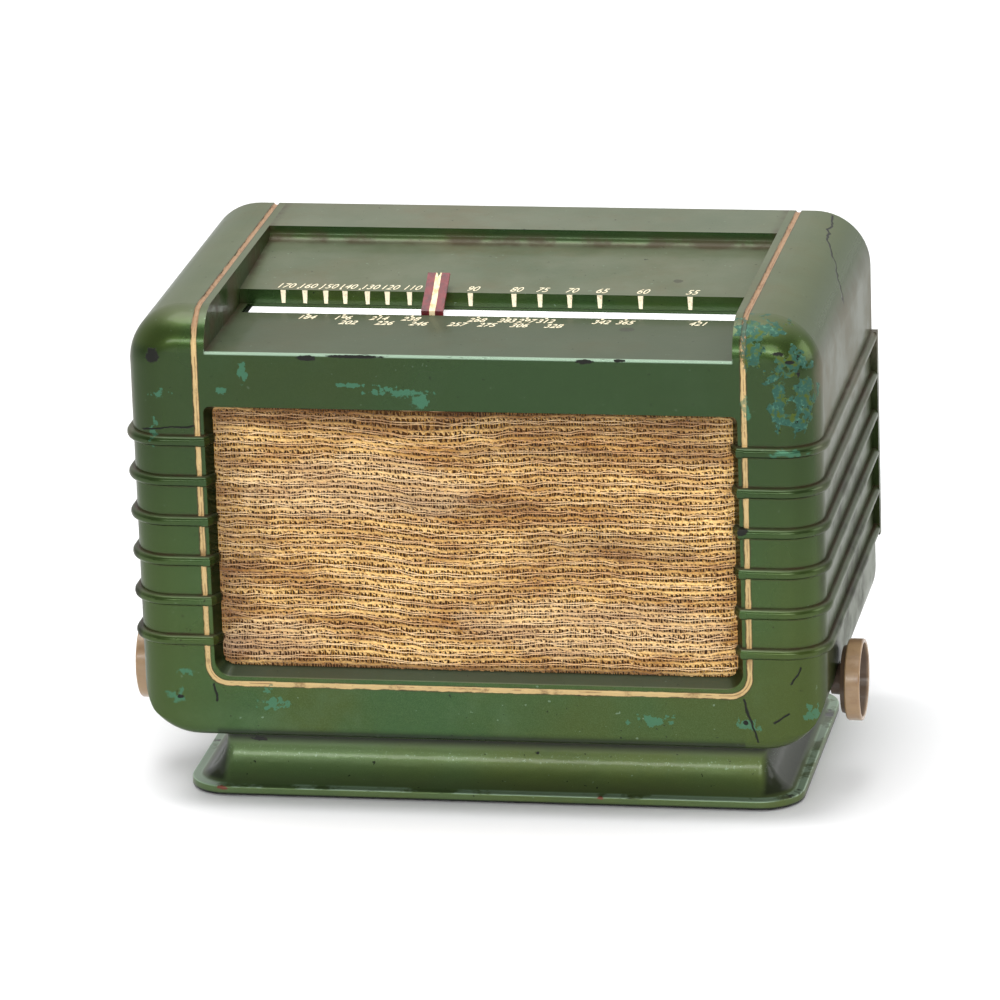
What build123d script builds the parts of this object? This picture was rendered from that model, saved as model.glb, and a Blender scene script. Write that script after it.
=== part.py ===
from build123d import *
import math
import os

# A bakelite table radio: moulded cabinet on a coved plinth, dial recess on top, cloth grille in front,
# a knob on each side. The front faces -Y, +X is the right-hand side seen from the front, +Z is up.
# The origin is the middle of the underside. All lengths are millimetres.

os.makedirs("parts", exist_ok=True)

# Cabinet shell
HALF_WIDTH = 160.0
FRONT_Y = -96.0
REAR_Y = 96.0
BOTTOM_Z = 36.5
TOP_Z = 240.5
WALL = 4.0
TOP_SIDE_RADIUS = 26.0
BOTTOM_SIDE_RADIUS = 28.0
FRONT_RADIUS = 18.0
FRONT_FOOT_RADIUS = 6.0

# Dial recess in the top
RECESS_HALF = 121.5
RECESS_WALL = 3.5
SHELF_Z = TOP_Z - FRONT_RADIUS
RISER_Y = -15.8
FLOOR_FRONT_Z = 229.5
FLOOR_REAR_Z = 234.0
RECESS_REAR_Y = 55.0
SLOT_HALF = 118.0
SLOT_FRONT_Y = -30.3
SLOT_REAR_Y = -16.3
STRIP_FRONT_Y = -27.4

# Grille opening and the painted groove round it
OPENING_HALF = 123.2
OPENING_BOTTOM_Z = 66.3
OPENING_TOP_Z = 196.5
OPENING_TOP_RADIUS = 3.0
OPENING_BOTTOM_RADIUS = 8.0
REVEAL_DEPTH = 6.0
REVEAL_INSET = 3.0
GROOVE_X = 126.3
GROOVE_BOTTOM_Z = 63.0
GROOVE_TURN = 9.5
GROOVE_TOOL = 1.25
GROOVE_LIFT = 0.25

# Ribs round the sides
RIB_COUNT = 6
RIB_TOP_Z = 180.0
RIB_PITCH = 19.2
RIB_PROUD = 3.0
RIB_HEIGHT = 5.0
RIB_END_ROUND = 1.8
REAR_BEAD_Y = 91.0

# Plinth
PLINTH_HALF = 145.0
PLINTH_FRONT_Y = -76.0
PLINTH_REAR_Y = 84.0
PLINTH_CORNER = 20.0
WAIST_INSET = 17.0
WAIST_CORNER = 4.0
WAIST_Z = 25.0
FLARE = 3.6
PLINTH_LIFT = 1.0
LEDGE_Z = 5.0
PLINTH_WALL = 4.0
BOSS_Z = 14.0

# Chassis and what stands on it
CHASSIS_X0 = -140.0
CHASSIS_X1 = 112.0
CHASSIS_Y0 = -52.0
CHASSIS_Y1 = 84.0
CHASSIS_Z0 = 44.0
CHASSIS_Z1 = 84.0
SHEET = 1.2
FLANGE = 12.0

# Controls
TUNING_Y = -40.0
VOLUME_Y = -34.0
SHAFT_Z = 53.5
SHAFT_R = 3.175
KNOB_FACE_X = 171.5
KNOB_R = 19.0
RUNNING = 0.05
SHAFT_HOLE_R = 8.6
SHAFT_TIP = 7.4

# Tuning drive
DRUM_Y = 17.0
DRUM_Z = 118.0
DRUM_PITCH_R = 61.0
DRUM_FLANGE_R = 63.0
BELT_X = 119.5
CORD_X = 124.0
CORD_D = 1.0
CORD_GAP = 0.3
SPINDLE_PITCH_R = 5.0
CORD_Y = DRUM_Y - DRUM_PITCH_R
RUN_TOP_Z = 211.0
SMALL_PULLEY_R = 8.0
FAR_PULLEY_R = 12.0
RETURN_Z = RUN_TOP_Z - 2 * FAR_PULLEY_R
FAR_PULLEY_X = -134.0
RAIL_Y = -36.0
RAIL_Z = 204.0
RAIL_R = 1.5
RAIL_HALF = 128.0
POINTER_X = -28.0

# Loudspeaker
SPEAKER_Z = 131.4
BOARD_FRONT_Y = -89.2
BOARD_THICK = 5.0
CLOTH_THICK = 0.8
SPEAKER_R = 63.0
CONE_R = 52.0

# Rear cover
COVER_THICK = 3.0
COVER_GAP = 0.5
COVER_SCREWS = [(-146.0, 66.0), (146.0, 66.0), (-146.0, 208.0), (146.0, 208.0)]

# Fixings and feet, as (x, y)
CHASSIS_FEET = [(-100.0, -42.0), (90.0, -42.0), (-100.0, 56.0), (90.0, 56.0)]
PLINTH_FIXINGS = [(-60.0, -46.0), (60.0, -46.0), (-60.0, 54.0), (60.0, 54.0)]
FEET = [(-134.0, -64.0), (134.0, -64.0), (-134.0, 72.0), (134.0, 72.0)]

# Cord pulleys: centre, axis and pitch radius
PULLEYS = {
    "pulley_right": ((CORD_X - SMALL_PULLEY_R, CORD_Y, RUN_TOP_Z - SMALL_PULLEY_R), (0, 1, 0), SMALL_PULLEY_R),
    "pulley_left": ((FAR_PULLEY_X, CORD_Y, RUN_TOP_Z - FAR_PULLEY_R), (0, 1, 0), FAR_PULLEY_R),
    "pulley_corner": ((CORD_X - SMALL_PULLEY_R, CORD_Y + SMALL_PULLEY_R, RETURN_Z), (0, 0, 1), SMALL_PULLEY_R),
    "pulley_rear": (
        (CORD_X, DRUM_Y + DRUM_PITCH_R - SMALL_PULLEY_R, RETURN_Z - SMALL_PULLEY_R),
        (1, 0, 0),
        SMALL_PULLEY_R,
    ),
}

# Tuning gang plates
PLATE = 0.7
PLATE_PITCH = 3.2
PLATES = 7
GANG_REST = math.radians(230)

# Valves: x, y and the height of the glass
VALVES = {
    "valve_mixer": (66.0, 63.0, 62.0),
    "valve_amplifier": (-12.0, 22.0, 62.0),
    "valve_detector": (26.0, 62.0, 62.0),
    "valve_output": (-50.0, 22.0, 74.0),
    "valve_rectifier": (-50.0, 62.0, 74.0),
}
CANS = [(-12.0, 62.0), (22.0, 20.0)]
SOCKET_R = 16.0
BASE_R = 14.0
BASE_Z0 = CHASSIS_Z1 + 3.0
BASE_H = 14.0
TRANSFORMER = (-104.0, 50.0)
OUTPUT_TRANSFORMER = (-110.0, -18.0)

# Screws of the baffle board and the loudspeaker, as (x, z)
BOARD_SCREWS = [(x, z) for x in (-126.5, 126.5) for z in (80.0, 183.0)]
SPEAKER_SCREWS = [
    (59.9 * math.cos(math.radians(45 + 90 * n)), SPEAKER_Z + 59.9 * math.sin(math.radians(45 + 90 * n)))
    for n in range(4)
]
SPEAKER_Y = BOARD_FRONT_Y + BOARD_THICK

# Rear entries
GROMMET_X = 96.0
GROMMET_Z = 62.0
TERMINAL_X = -70.0
TERMINAL_Z = 64.0

# Pointer, brackets and dial lamps
POINTER_SLOPE = 0.59
POINTER_HALF = 5.2
POINTER_T = 1.0
PLATE_T = 1.6
LAMPS = (-62.0, 58.0)
LAMP_Y = -20.0
LAMP_Z = 203.0


def save(node, shape):
    shape.label = node
    export_step(shape, f"parts/{node}.step")
    box = shape.bounding_box()
    print(node, [round(v, 2) for v in (*box.min, *box.max)], "solids", len(shape.solids()))


def group(solids):
    return Compound(children=list(solids))


def box_between(x0, x1, y0, y1, z0, z1):
    middle = ((x0 + x1) / 2, (y0 + y1) / 2, (z0 + z1) / 2)
    return Pos(*middle) * Box(x1 - x0, y1 - y0, z1 - z0)


def rod(start, end, radius):
    """A cylinder from one point to another."""
    a, b = Vector(*start), Vector(*end)
    return extrude(Plane(origin=a, z_dir=b - a) * Circle(radius), (b - a).length)


def turned(origin, axis, points):
    """A solid of revolution: points are (distance along the axis, radius)."""
    along = Vector(*axis).normalized()
    side = Vector(0, 0, 1) if abs(along.Z) < 0.9 else Vector(1, 0, 0)
    plane = Plane(origin=origin, x_dir=side, z_dir=side.cross(along))
    outline = make_face(Polyline([plane.from_local_coords((r, a)) for a, r in points], close=True))
    return revolve(outline, Axis(origin, tuple(along)), 360)


def upright(x0, x1, z0, z1, top_radius, bottom_radius):
    """A rectangle in XZ with two radii at the top and two at the bottom, as a face at y = 0."""
    sketch = make_face(Polyline((x0, z0), (x1, z0), (x1, z1), (x0, z1), close=True))
    sketch = fillet(sketch.vertices().sort_by(Axis.Y)[2:], top_radius)
    sketch = fillet(sketch.vertices().filter_by(lambda v: v.Y < z0 + 0.01), bottom_radius)
    return Plane.XZ * sketch


def tunnel(inset, front_y, rear_y, loop_radius):
    """The cabinet's cross-section run from front to rear, with its front edge rounded all the way round."""
    face = upright(
        -HALF_WIDTH + inset,
        HALF_WIDTH - inset,
        BOTTOM_Z + inset,
        TOP_Z - inset,
        TOP_SIDE_RADIUS - inset,
        BOTTOM_SIDE_RADIUS - inset,
    )
    solid = Pos(0, rear_y, 0) * extrude(face, rear_y - front_y)
    front = solid.faces().sort_by(Axis.Y)[0]
    return fillet(front.edges(), loop_radius)


def plan(half, front_y, rear_y, radius):
    """A rectangle in XY with its front corners rounded."""
    corners = [(-half, rear_y), (-half, front_y), (half, front_y), (half, rear_y)]
    sketch = make_face(Polyline(corners, close=True))
    return fillet(sketch.vertices().sort_by(Axis.Y)[:2], radius)


def recess_block(half, wall):
    """The dial recess, or with a wall thickness the block of material round it."""
    rear = RECESS_REAR_Y + wall
    riser = RISER_Y + wall
    outline = Polyline(
        (FRONT_Y - 5, SHELF_Z - wall),
        (riser, SHELF_Z - wall),
        (riser, FLOOR_FRONT_Z - wall),
        (rear, FLOOR_REAR_Z - wall),
        (rear, TOP_Z + 5),
        (FRONT_Y - 5, TOP_Z + 5),
        close=True,
    )
    block = extrude(Plane.YZ * make_face(outline), half, both=True)
    if wall == 0:
        floor_edge = block.edges().filter_by(Axis.X).filter_by(
            lambda e: abs(e.center().Y - rear) < 0.1 and e.center().Z < TOP_Z
        )
        block = fillet(floor_edge, 4.0)
    return block


def reveal():
    """The grille opening, splayed inwards."""
    outer = upright(
        -OPENING_HALF, OPENING_HALF, OPENING_BOTTOM_Z, OPENING_TOP_Z, OPENING_TOP_RADIUS, OPENING_BOTTOM_RADIUS
    )
    inner = upright(
        -OPENING_HALF + REVEAL_INSET,
        OPENING_HALF - REVEAL_INSET,
        OPENING_BOTTOM_Z + REVEAL_INSET + 1,
        OPENING_TOP_Z - REVEAL_INSET + 1,
        OPENING_TOP_RADIUS - 1,
        OPENING_BOTTOM_RADIUS - 2,
    )
    mouth = Pos(0, FRONT_Y, 0) * extrude(outer, 4.0)
    throat = loft([Pos(0, FRONT_Y, 0) * outer, Pos(0, FRONT_Y + REVEAL_DEPTH, 0) * inner])
    return mouth + throat


def shaft_y(side):
    """The tuning spindle is on the right, the volume shaft on the left and further back."""
    return TUNING_Y if side > 0 else VOLUME_Y


def rib_end(side):
    """Where a rib turns in over the edge of the grille opening and runs out down the splay."""
    root_x = side * (OPENING_HALF + 2.8)
    lip_x = side * (OPENING_HALF - 0.6)
    tip_x = side * (OPENING_HALF - REVEAL_INSET - 0.8)
    front = FRONT_Y - RIB_PROUD
    rear = FRONT_Y + REVEAL_DEPTH - 0.2
    outline = Polyline(
        (root_x, FRONT_Y + 3),
        (root_x, front),
        (lip_x, front),
        (tip_x, rear - 2.4),
        (tip_x, rear),
        (side * (OPENING_HALF + 0.8), rear),
        close=True,
    )
    wedge = extrude(make_face(outline), RIB_HEIGHT, dir=(0, 0, 1))
    level = [e for e in wedge.edges() if e.bounding_box().size.Z < 0.01]
    seen = [e for e in level if abs(e.center().X) < abs(root_x) - 0.1 and e.center().Y < rear - 0.1]
    seen = [e for e in seen if e.center().Y < FRONT_Y - 0.1 or abs(e.center().X) < OPENING_HALF - 1]
    return fillet(seen, RIB_END_ROUND)


def rib_solid(z):
    """One rib, from the grille opening round the front corner to the rear bead, on both sides."""
    rim = plan(HALF_WIDTH + RIB_PROUD, FRONT_Y - RIB_PROUD, REAR_BEAD_Y + 1, FRONT_RADIUS + RIB_PROUD)
    ring = extrude(rim, RIB_HEIGHT)
    level = [e for e in ring.edges() if e.bounding_box().size.Z < 0.01 and e.center().Y < REAR_BEAD_Y]
    ring = fillet(level, RIB_HEIGHT / 2 - 0.15)
    ring -= extrude(plan(HALF_WIDTH - 2, FRONT_Y + 2, REAR_Y, FRONT_RADIUS - 2), RIB_HEIGHT)
    start = OPENING_HALF + 0.6
    ring -= box_between(-start, start, FRONT_Y - 5, REAR_Y, -1, RIB_HEIGHT + 1)
    ring += rib_end(-1)
    ring += rib_end(1)
    return Pos(0, 0, z - RIB_HEIGHT / 2) * ring


def groove_tool():
    """The round tool that leaves the painted groove: over the top, down the front and under the grille."""
    r = FRONT_RADIUS + GROOVE_LIFT
    top = TOP_Z + GROOVE_LIFT
    face_y = FRONT_Y - GROOVE_LIFT
    tools = []
    for side in (-1, 1):
        x = side * GROOVE_X
        tools.append(rod((x, REAR_Y + 2, top), (x, FRONT_Y + FRONT_RADIUS, top), GROOVE_TOOL))
        bend_axis = Axis((x, FRONT_Y + FRONT_RADIUS, SHELF_Z), (1, 0, 0))
        bend_plane = Plane.XZ.offset(-FRONT_Y - FRONT_RADIUS) * Pos(x, SHELF_Z + r)
        tools.append(revolve(bend_plane * Circle(GROOVE_TOOL), bend_axis, 90))
        tools.append(rod((x, face_y, SHELF_Z), (x, face_y, GROOVE_BOTTOM_Z + GROOVE_TURN), GROOVE_TOOL))
        turn_x = side * (GROOVE_X - GROOVE_TURN)
        turn_axis = Axis((turn_x, face_y, GROOVE_BOTTOM_Z + GROOVE_TURN), (0, side, 0))
        turn_plane = Plane(origin=(x, face_y, GROOVE_BOTTOM_Z + GROOVE_TURN), z_dir=(0, 0, 1))
        section = turn_plane * Circle(GROOVE_TOOL)
        tools.append(revolve(section, turn_axis, 90))
    inner = GROOVE_X - GROOVE_TURN
    tools.append(rod((-inner, face_y, GROOVE_BOTTOM_Z), (inner, face_y, GROOVE_BOTTOM_Z), GROOVE_TOOL))
    return tools


def cabinet():
    meet_z = BOTTOM_Z + BOTTOM_SIDE_RADIUS + 0.5
    upper = tunnel(0, FRONT_Y, REAR_Y, FRONT_RADIUS) & box_between(-200, 200, -120, 120, meet_z, 260)
    lower = tunnel(0, FRONT_Y, REAR_Y, FRONT_FOOT_RADIUS)
    lower &= extrude(plan(HALF_WIDTH, FRONT_Y, REAR_Y, FRONT_RADIUS), meet_z)
    body = upper + lower
    bead_low = RIB_TOP_Z - (RIB_COUNT - 1) * RIB_PITCH - RIB_HEIGHT / 2
    for side in (-1, 1):
        edge = side * (HALF_WIDTH + RIB_PROUD)
        inside = side * (HALF_WIDTH - 1)
        x0, x1 = min(edge, inside), max(edge, inside)
        body += box_between(x0, x1, REAR_BEAD_Y, REAR_Y, bead_low, RIB_TOP_Z + RIB_HEIGHT / 2)
    cavity = tunnel(WALL, FRONT_Y + WALL, REAR_Y + 1, FRONT_RADIUS - WALL)
    cavity -= recess_block(RECESS_HALF + RECESS_WALL, RECESS_WALL)
    cavity -= box_between(-132, 132, FRONT_Y, FRONT_Y + REVEAL_DEPTH, OPENING_BOTTOM_Z - 8, OPENING_TOP_Z + 8)
    for x, z in COVER_SCREWS:
        cavity -= rod((x, 62, z), (x, REAR_Y - COVER_THICK, z), 6.0)
        wall_x = math.copysign(HALF_WIDTH - 1, x)
        cavity -= box_between(min(x, wall_x), max(x, wall_x), 62, REAR_Y - COVER_THICK, z - 6, z + 6)
    for x, y in CHASSIS_FEET:
        cavity -= rod((x, y, BOTTOM_Z), (x, y, CHASSIS_Z0), 8.0)
    body -= cavity
    body -= recess_block(RECESS_HALF, 0)
    body -= box_between(-SLOT_HALF, SLOT_HALF, SLOT_FRONT_Y, SLOT_REAR_Y, SHELF_Z - 10, SHELF_Z + 1)
    body -= reveal()
    for tool in groove_tool():
        body -= tool
    for x, z in COVER_SCREWS:
        body -= rod((x, 74, z), (x, REAR_Y, z), 1.6)
    for x, y in CHASSIS_FEET:
        body -= rod((x, y, BOTTOM_Z - 1), (x, y, CHASSIS_Z0 + 1), 2.2)
    for x, y in PLINTH_FIXINGS:
        body -= rod((x, y, BOTTOM_Z - 1), (x, y, BOTTOM_Z + WALL + 1), 2.2)
    for side in (-1, 1):
        body -= rod((0, shaft_y(side), SHAFT_Z), (side * 180, shaft_y(side), SHAFT_Z), SHAFT_HOLE_R)
    for n in range(RIB_COUNT):
        body += rib_solid(RIB_TOP_Z - n * RIB_PITCH)
    return body


def plinth_section(inset, radius, z):
    half = PLINTH_HALF - inset
    depth = PLINTH_REAR_Y - PLINTH_FRONT_Y - 2 * inset
    middle = (PLINTH_REAR_Y + PLINTH_FRONT_Y) / 2
    return Pos(0, middle, z) * RectangleRounded(2 * half, depth, radius)


def plinth():
    """A ledge, then a hollow cove that narrows to the waist and flares again under the cabinet."""
    ledge = extrude(plinth_section(0, PLINTH_CORNER, PLINTH_LIFT), LEDGE_Z - PLINTH_LIFT)
    ledge = fillet(ledge.edges().group_by(Axis.Z)[-1], 0.8)
    cove_radius = WAIST_INSET - 1.5
    cove_base = LEDGE_Z - 0.2
    steps = 6
    sections = []
    for n in range(steps + 1):
        turn = math.pi / 2 * n / steps
        inset = 1.5 + cove_radius * math.sin(turn)
        z = cove_base + (WAIST_Z - cove_base) * (1 - math.cos(turn))
        radius = PLINTH_CORNER - 1.5 + (WAIST_CORNER - PLINTH_CORNER + 1.5) * math.sin(turn)
        sections.append(plinth_section(inset, radius, z))
    flare_steps = 4
    for n in range(1, flare_steps + 1):
        turn = math.radians(70) * n / flare_steps
        inset = WAIST_INSET - FLARE * (1 - math.cos(turn)) / (1 - math.cos(math.radians(70)))
        z = WAIST_Z + (BOTTOM_Z - WAIST_Z) * math.sin(turn) / math.sin(math.radians(70))
        sections.append(plinth_section(inset, WAIST_CORNER + WAIST_INSET - inset, z))
    body = ledge + loft(sections)
    inner = plinth_section(WAIST_INSET + PLINTH_WALL, 3, PLINTH_LIFT - 0.5)
    body -= extrude(inner, BOTTOM_Z - PLINTH_WALL - PLINTH_LIFT + 0.5)
    for x, y in PLINTH_FIXINGS:
        body += rod((x, y, BOSS_Z), (x, y, BOTTOM_Z - 1), 5.0)
        body -= rod((x, y, 0), (x, y, BOTTOM_Z + 1), 2.0)
    for x, y in CHASSIS_FEET:
        body -= rod((x, y, 0), (x, y, BOTTOM_Z + 1), 6.0)
    for x, y in FEET:
        body -= rod((x, y, 0), (x, y, PLINTH_LIFT + 1), 6.2)
    return body


def wood_screw(tip, direction, length, shank, head, head_height):
    """A round-headed screw: tip is the point, direction runs from the tip to the head."""
    points = [
        (0, 0),
        (2.0, shank),
        (length, shank),
        (length, head),
        (length + head_height * 0.55, head * 0.86),
        (length + head_height * 0.87, head * 0.5),
        (length + head_height, 0),
    ]
    return turned(tip, direction, points)


def knob(side):
    """Fluteless turned-looking knob: thin hub, brown flange, thick rim with a dished face."""
    points = [
        (-15.0, 3.25),
        (-15.0, 7.0),
        (-9.6, 7.4),
        (-9.6, 15.6),
        (-7.2, 16.2),
        (-7.2, KNOB_R - 0.5),
        (-6.6, KNOB_R),
        (-0.7, KNOB_R),
        (-0.2, KNOB_R - 0.3),
        (0, KNOB_R - 0.9),
        (-0.3, KNOB_R - 1.8),
        (-4.2, KNOB_R - 2.6),
        (-5.0, KNOB_R - 4.0),
        (-5.4, 6.0),
        (-5.4, 0),
        (-SHAFT_TIP + 0.2, 0),
        (-SHAFT_TIP + 0.2, 3.25),
    ]
    return turned((side * KNOB_FACE_X, shaft_y(side), SHAFT_Z), (side, 0, 0), points)


def pulley(centre, axis, pitch_radius, width=4.0):
    """A grooved cord pulley with a centre hole for its pin."""
    root = pitch_radius - CORD_D / 2 - CORD_GAP
    rim = pitch_radius + 1.4
    half = width / 2
    points = [
        (-half, 1.55),
        (-half, rim),
        (-half + 0.6, rim),
        (-0.75, root),
        (0.75, root),
        (half - 0.6, rim),
        (half, rim),
        (half, 1.55),
    ]
    return turned(centre, axis, points)


def pulley_pin(centre, axis, reach):
    """The pin of a pulley: its shank goes on from the pulley into the bracket by reach."""
    points = [(-2.9, 0), (-2.9, 2.6), (-2.3, 2.6), (-2.3, 1.5), (reach, 1.5), (reach, 0)]
    return turned(centre, axis, points)


def pointer_cord():
    """From the drum's rim up to the dial, across, round the far pulley and back to the drum's other side."""
    r = SMALL_PULLEY_R
    x = CORD_X
    front = CORD_Y
    rear = DRUM_Y + DRUM_PITCH_R
    drop = math.radians(78)
    front_foot = (x, DRUM_Y - DRUM_PITCH_R * math.cos(drop), DRUM_Z - DRUM_PITCH_R * math.sin(drop))
    rear_foot = (x, DRUM_Y + DRUM_PITCH_R * math.cos(drop), DRUM_Z - DRUM_PITCH_R * math.sin(drop))
    half = math.radians(39)
    front_mid = (x, DRUM_Y - DRUM_PITCH_R * math.cos(half), DRUM_Z - DRUM_PITCH_R * math.sin(half))
    rear_mid = (x, DRUM_Y + DRUM_PITCH_R * math.cos(half), DRUM_Z - DRUM_PITCH_R * math.sin(half))
    diag = r * math.sqrt(0.5)
    top = RUN_TOP_Z
    far = FAR_PULLEY_X
    path = [
        ThreePointArc(front_foot, front_mid, (x, front, DRUM_Z)),
        Line((x, front, DRUM_Z), (x, front, top - r)),
        ThreePointArc((x, front, top - r), (x - r + diag, front, top - r + diag), (x - r, front, top)),
        Line((x - r, front, top), (far, front, top)),
        ThreePointArc(
            (far, front, top), (far - FAR_PULLEY_R, front, top - FAR_PULLEY_R), (far, front, RETURN_Z)
        ),
        Line((far, front, RETURN_Z), (x - r, front, RETURN_Z)),
        ThreePointArc(
            (x - r, front, RETURN_Z), (x - r + diag, front + r - diag, RETURN_Z), (x, front + r, RETURN_Z)
        ),
        Line((x, front + r, RETURN_Z), (x, rear - r, RETURN_Z)),
        ThreePointArc(
            (x, rear - r, RETURN_Z), (x, rear - r + diag, RETURN_Z - r + diag), (x, rear, RETURN_Z - r)
        ),
        Line((x, rear, RETURN_Z - r), (x, rear, DRUM_Z)),
        ThreePointArc((x, rear, DRUM_Z), rear_mid, rear_foot),
    ]
    wire = Wire(path)
    start = Plane(origin=wire @ 0, z_dir=wire % 0)
    return sweep(start * Circle(CORD_D / 2), path=wire)


def drive_cord():
    """An endless cord between the spindle and the drum, in the plane of the drum's inner groove."""
    dy, dz = DRUM_Y - TUNING_Y, DRUM_Z - SHAFT_Z
    span = math.hypot(dy, dz)
    lean = math.atan2(dz, dy)
    spread = math.acos((DRUM_PITCH_R - SPINDLE_PITCH_R) / span)
    # the common tangents touch both circles at the same angle, measured from the spindle-to-drum line
    away = math.pi - spread
    lines = []
    for side in (1, -1):
        turn = lean + side * away
        out_y, out_z = math.cos(turn), math.sin(turn)
        on_spindle = (BELT_X, TUNING_Y + SPINDLE_PITCH_R * out_y, SHAFT_Z + SPINDLE_PITCH_R * out_z)
        on_drum = (BELT_X, DRUM_Y + DRUM_PITCH_R * out_y, DRUM_Z + DRUM_PITCH_R * out_z)
        lines.append((on_spindle, on_drum))
    (s1, d1), (s2, d2) = lines
    drum_mid = (BELT_X, DRUM_Y + DRUM_PITCH_R * math.cos(lean), DRUM_Z + DRUM_PITCH_R * math.sin(lean))
    spindle_mid = (
        BELT_X,
        TUNING_Y - SPINDLE_PITCH_R * math.cos(lean),
        SHAFT_Z - SPINDLE_PITCH_R * math.sin(lean),
    )
    path = [Line(s1, d1), ThreePointArc(d1, drum_mid, d2), Line(d2, s2), ThreePointArc(s2, spindle_mid, s1)]
    wire = Wire(path)
    start = Plane(origin=wire @ 0, z_dir=wire % 0)
    return sweep(start * Circle(CORD_D / 2), path=wire)


def drum():
    """The cord drum: a rim with two grooves, a thin web with lightening holes and a hub."""
    root = DRUM_PITCH_R - CORD_D / 2 - CORD_GAP
    x0, x1 = BELT_X - 2.2, CORD_X + 2.2
    points = [
        (0, root - 3.0),
        (0, DRUM_FLANGE_R),
        (0.8, DRUM_FLANGE_R),
        (BELT_X - x0 - 0.8, root),
        (BELT_X - x0 + 0.8, root),
        ((BELT_X + CORD_X) / 2 - x0 - 0.4, DRUM_FLANGE_R),
        ((BELT_X + CORD_X) / 2 - x0 + 0.4, DRUM_FLANGE_R),
        (CORD_X - x0 - 0.8, root),
        (CORD_X - x0 + 0.8, root),
        (x1 - x0 - 0.8, DRUM_FLANGE_R),
        (x1 - x0, DRUM_FLANGE_R),
        (x1 - x0, root - 3.0),
    ]
    rim = turned((x0, DRUM_Y, DRUM_Z), (1, 0, 0), points)
    web = turned((x0 + 3.2, DRUM_Y, DRUM_Z), (1, 0, 0), [(0, 8), (0, root - 2), (2.0, root - 2), (2.0, 8)])
    for n in range(3):
        turn = math.radians(90 + 120 * n)
        y, z = DRUM_Y + 34 * math.cos(turn), DRUM_Z + 34 * math.sin(turn)
        web -= rod((x0, y, z), (x1, y, z), 12.5)
    hub = turned(
        (BELT_X - 4.2, DRUM_Y, DRUM_Z),
        (1, 0, 0),
        [(0, 3.0), (0, 7.0), (3.2, 7.0), (3.2, 9.0), (9.0, 9.0), (9.0, 3.0)],
    )
    return rim + web + hub


GANG_X0 = 46.0
GANG_X1 = 106.0


def gang_frame():
    """A folded steel cradle with two end plates and a middle screen."""
    base = box_between(GANG_X0, GANG_X1, DRUM_Y - 24, DRUM_Y + 24, CHASSIS_Z1, CHASSIS_Z1 + 2)
    for x in (GANG_X0, (GANG_X0 + GANG_X1) / 2 - 0.8, GANG_X1 - 1.6):
        plate = box_between(x, x + 1.6, DRUM_Y - 24, DRUM_Y + 24, CHASSIS_Z1, DRUM_Z + 14)
        top = plate.edges().filter_by(Axis.X).sort_by(Axis.Z)[-2:]
        base += fillet(top, 8)
    base -= rod((GANG_X0 - 1, DRUM_Y, DRUM_Z), (GANG_X1 + 1, DRUM_Y, DRUM_Z), 3.0 + RUNNING)
    for bay in range(2):
        x = GANG_X0 + 30 * bay + 15
        for y in (DRUM_Y - 18, DRUM_Y + 18):
            base -= rod((x, y, CHASSIS_Z1 - 1), (x, y, CHASSIS_Z1 + 3), 1.6)
    return base


def half_disc(x, radius, turn, thickness=PLATE):
    """A half-round plate in the plane x, its middle pointing at the angle turn in the YZ plane."""
    disc = rod((x, DRUM_Y, DRUM_Z), (x + thickness, DRUM_Y, DRUM_Z), radius)
    cut = box_between(-1, 2, -60, 60, -60, 0)
    place = Pos(x, DRUM_Y, DRUM_Z) * Rot(math.degrees(turn) - 90, 0, 0)
    return disc - place * cut


def gang_rotor():
    """The shaft and its two sets of vanes, turned as far as the dial reading needs."""
    shaft = rod((GANG_X0 - 4, DRUM_Y, DRUM_Z), (CORD_X + 4, DRUM_Y, DRUM_Z), 3.0)
    for bay in range(2):
        start = GANG_X0 + 30 * bay + 5
        for n in range(PLATES):
            shaft += half_disc(start + n * PLATE_PITCH, 22, GANG_REST)
        end = start + (PLATES - 1) * PLATE_PITCH + 2
        shaft += rod((start - 1, DRUM_Y, DRUM_Z), (end, DRUM_Y, DRUM_Z), 4.5)
    return shaft


def gang_stators():
    """Two stacks of fixed vanes joined by two bars each, on insulated feet in the real gang."""
    stacks = []
    for bay in range(2):
        start = GANG_X0 + 30 * bay + 5 + PLATE_PITCH / 2
        end = start + (PLATES - 2) * PLATE_PITCH + PLATE
        stack = None
        for n in range(PLATES - 1):
            x = start + n * PLATE_PITCH
            vane = box_between(x, x + PLATE, DRUM_Y - 23.5, DRUM_Y + 23.5, CHASSIS_Z1 + 4.5, DRUM_Z - 1)
            vane -= rod((x - 1, DRUM_Y, DRUM_Z), (x + 2, DRUM_Y, DRUM_Z), 5.6)
            stack = vane if stack is None else stack + vane
        for y in (DRUM_Y - 21.5, DRUM_Y + 21.5):
            stack += box_between(start, end, y - 2, y + 2, CHASSIS_Z1 + 4.5, CHASSIS_Z1 + 10.5)
        stack += box_between(start, end, DRUM_Y - 8, DRUM_Y + 8, CHASSIS_Z1 + 4.5, CHASSIS_Z1 + 6.5)
        stacks.append(stack)
    return group(stacks)


def stator_insulators():
    """Ceramic blocks that carry the stator stacks on the cradle."""
    blocks = []
    for bay in range(2):
        x = GANG_X0 + 30 * bay + 15
        blocks.append(box_between(x - 6, x + 6, DRUM_Y - 7, DRUM_Y + 7, CHASSIS_Z1 + 2, CHASSIS_Z1 + 4.5))
    return group(blocks)


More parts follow.
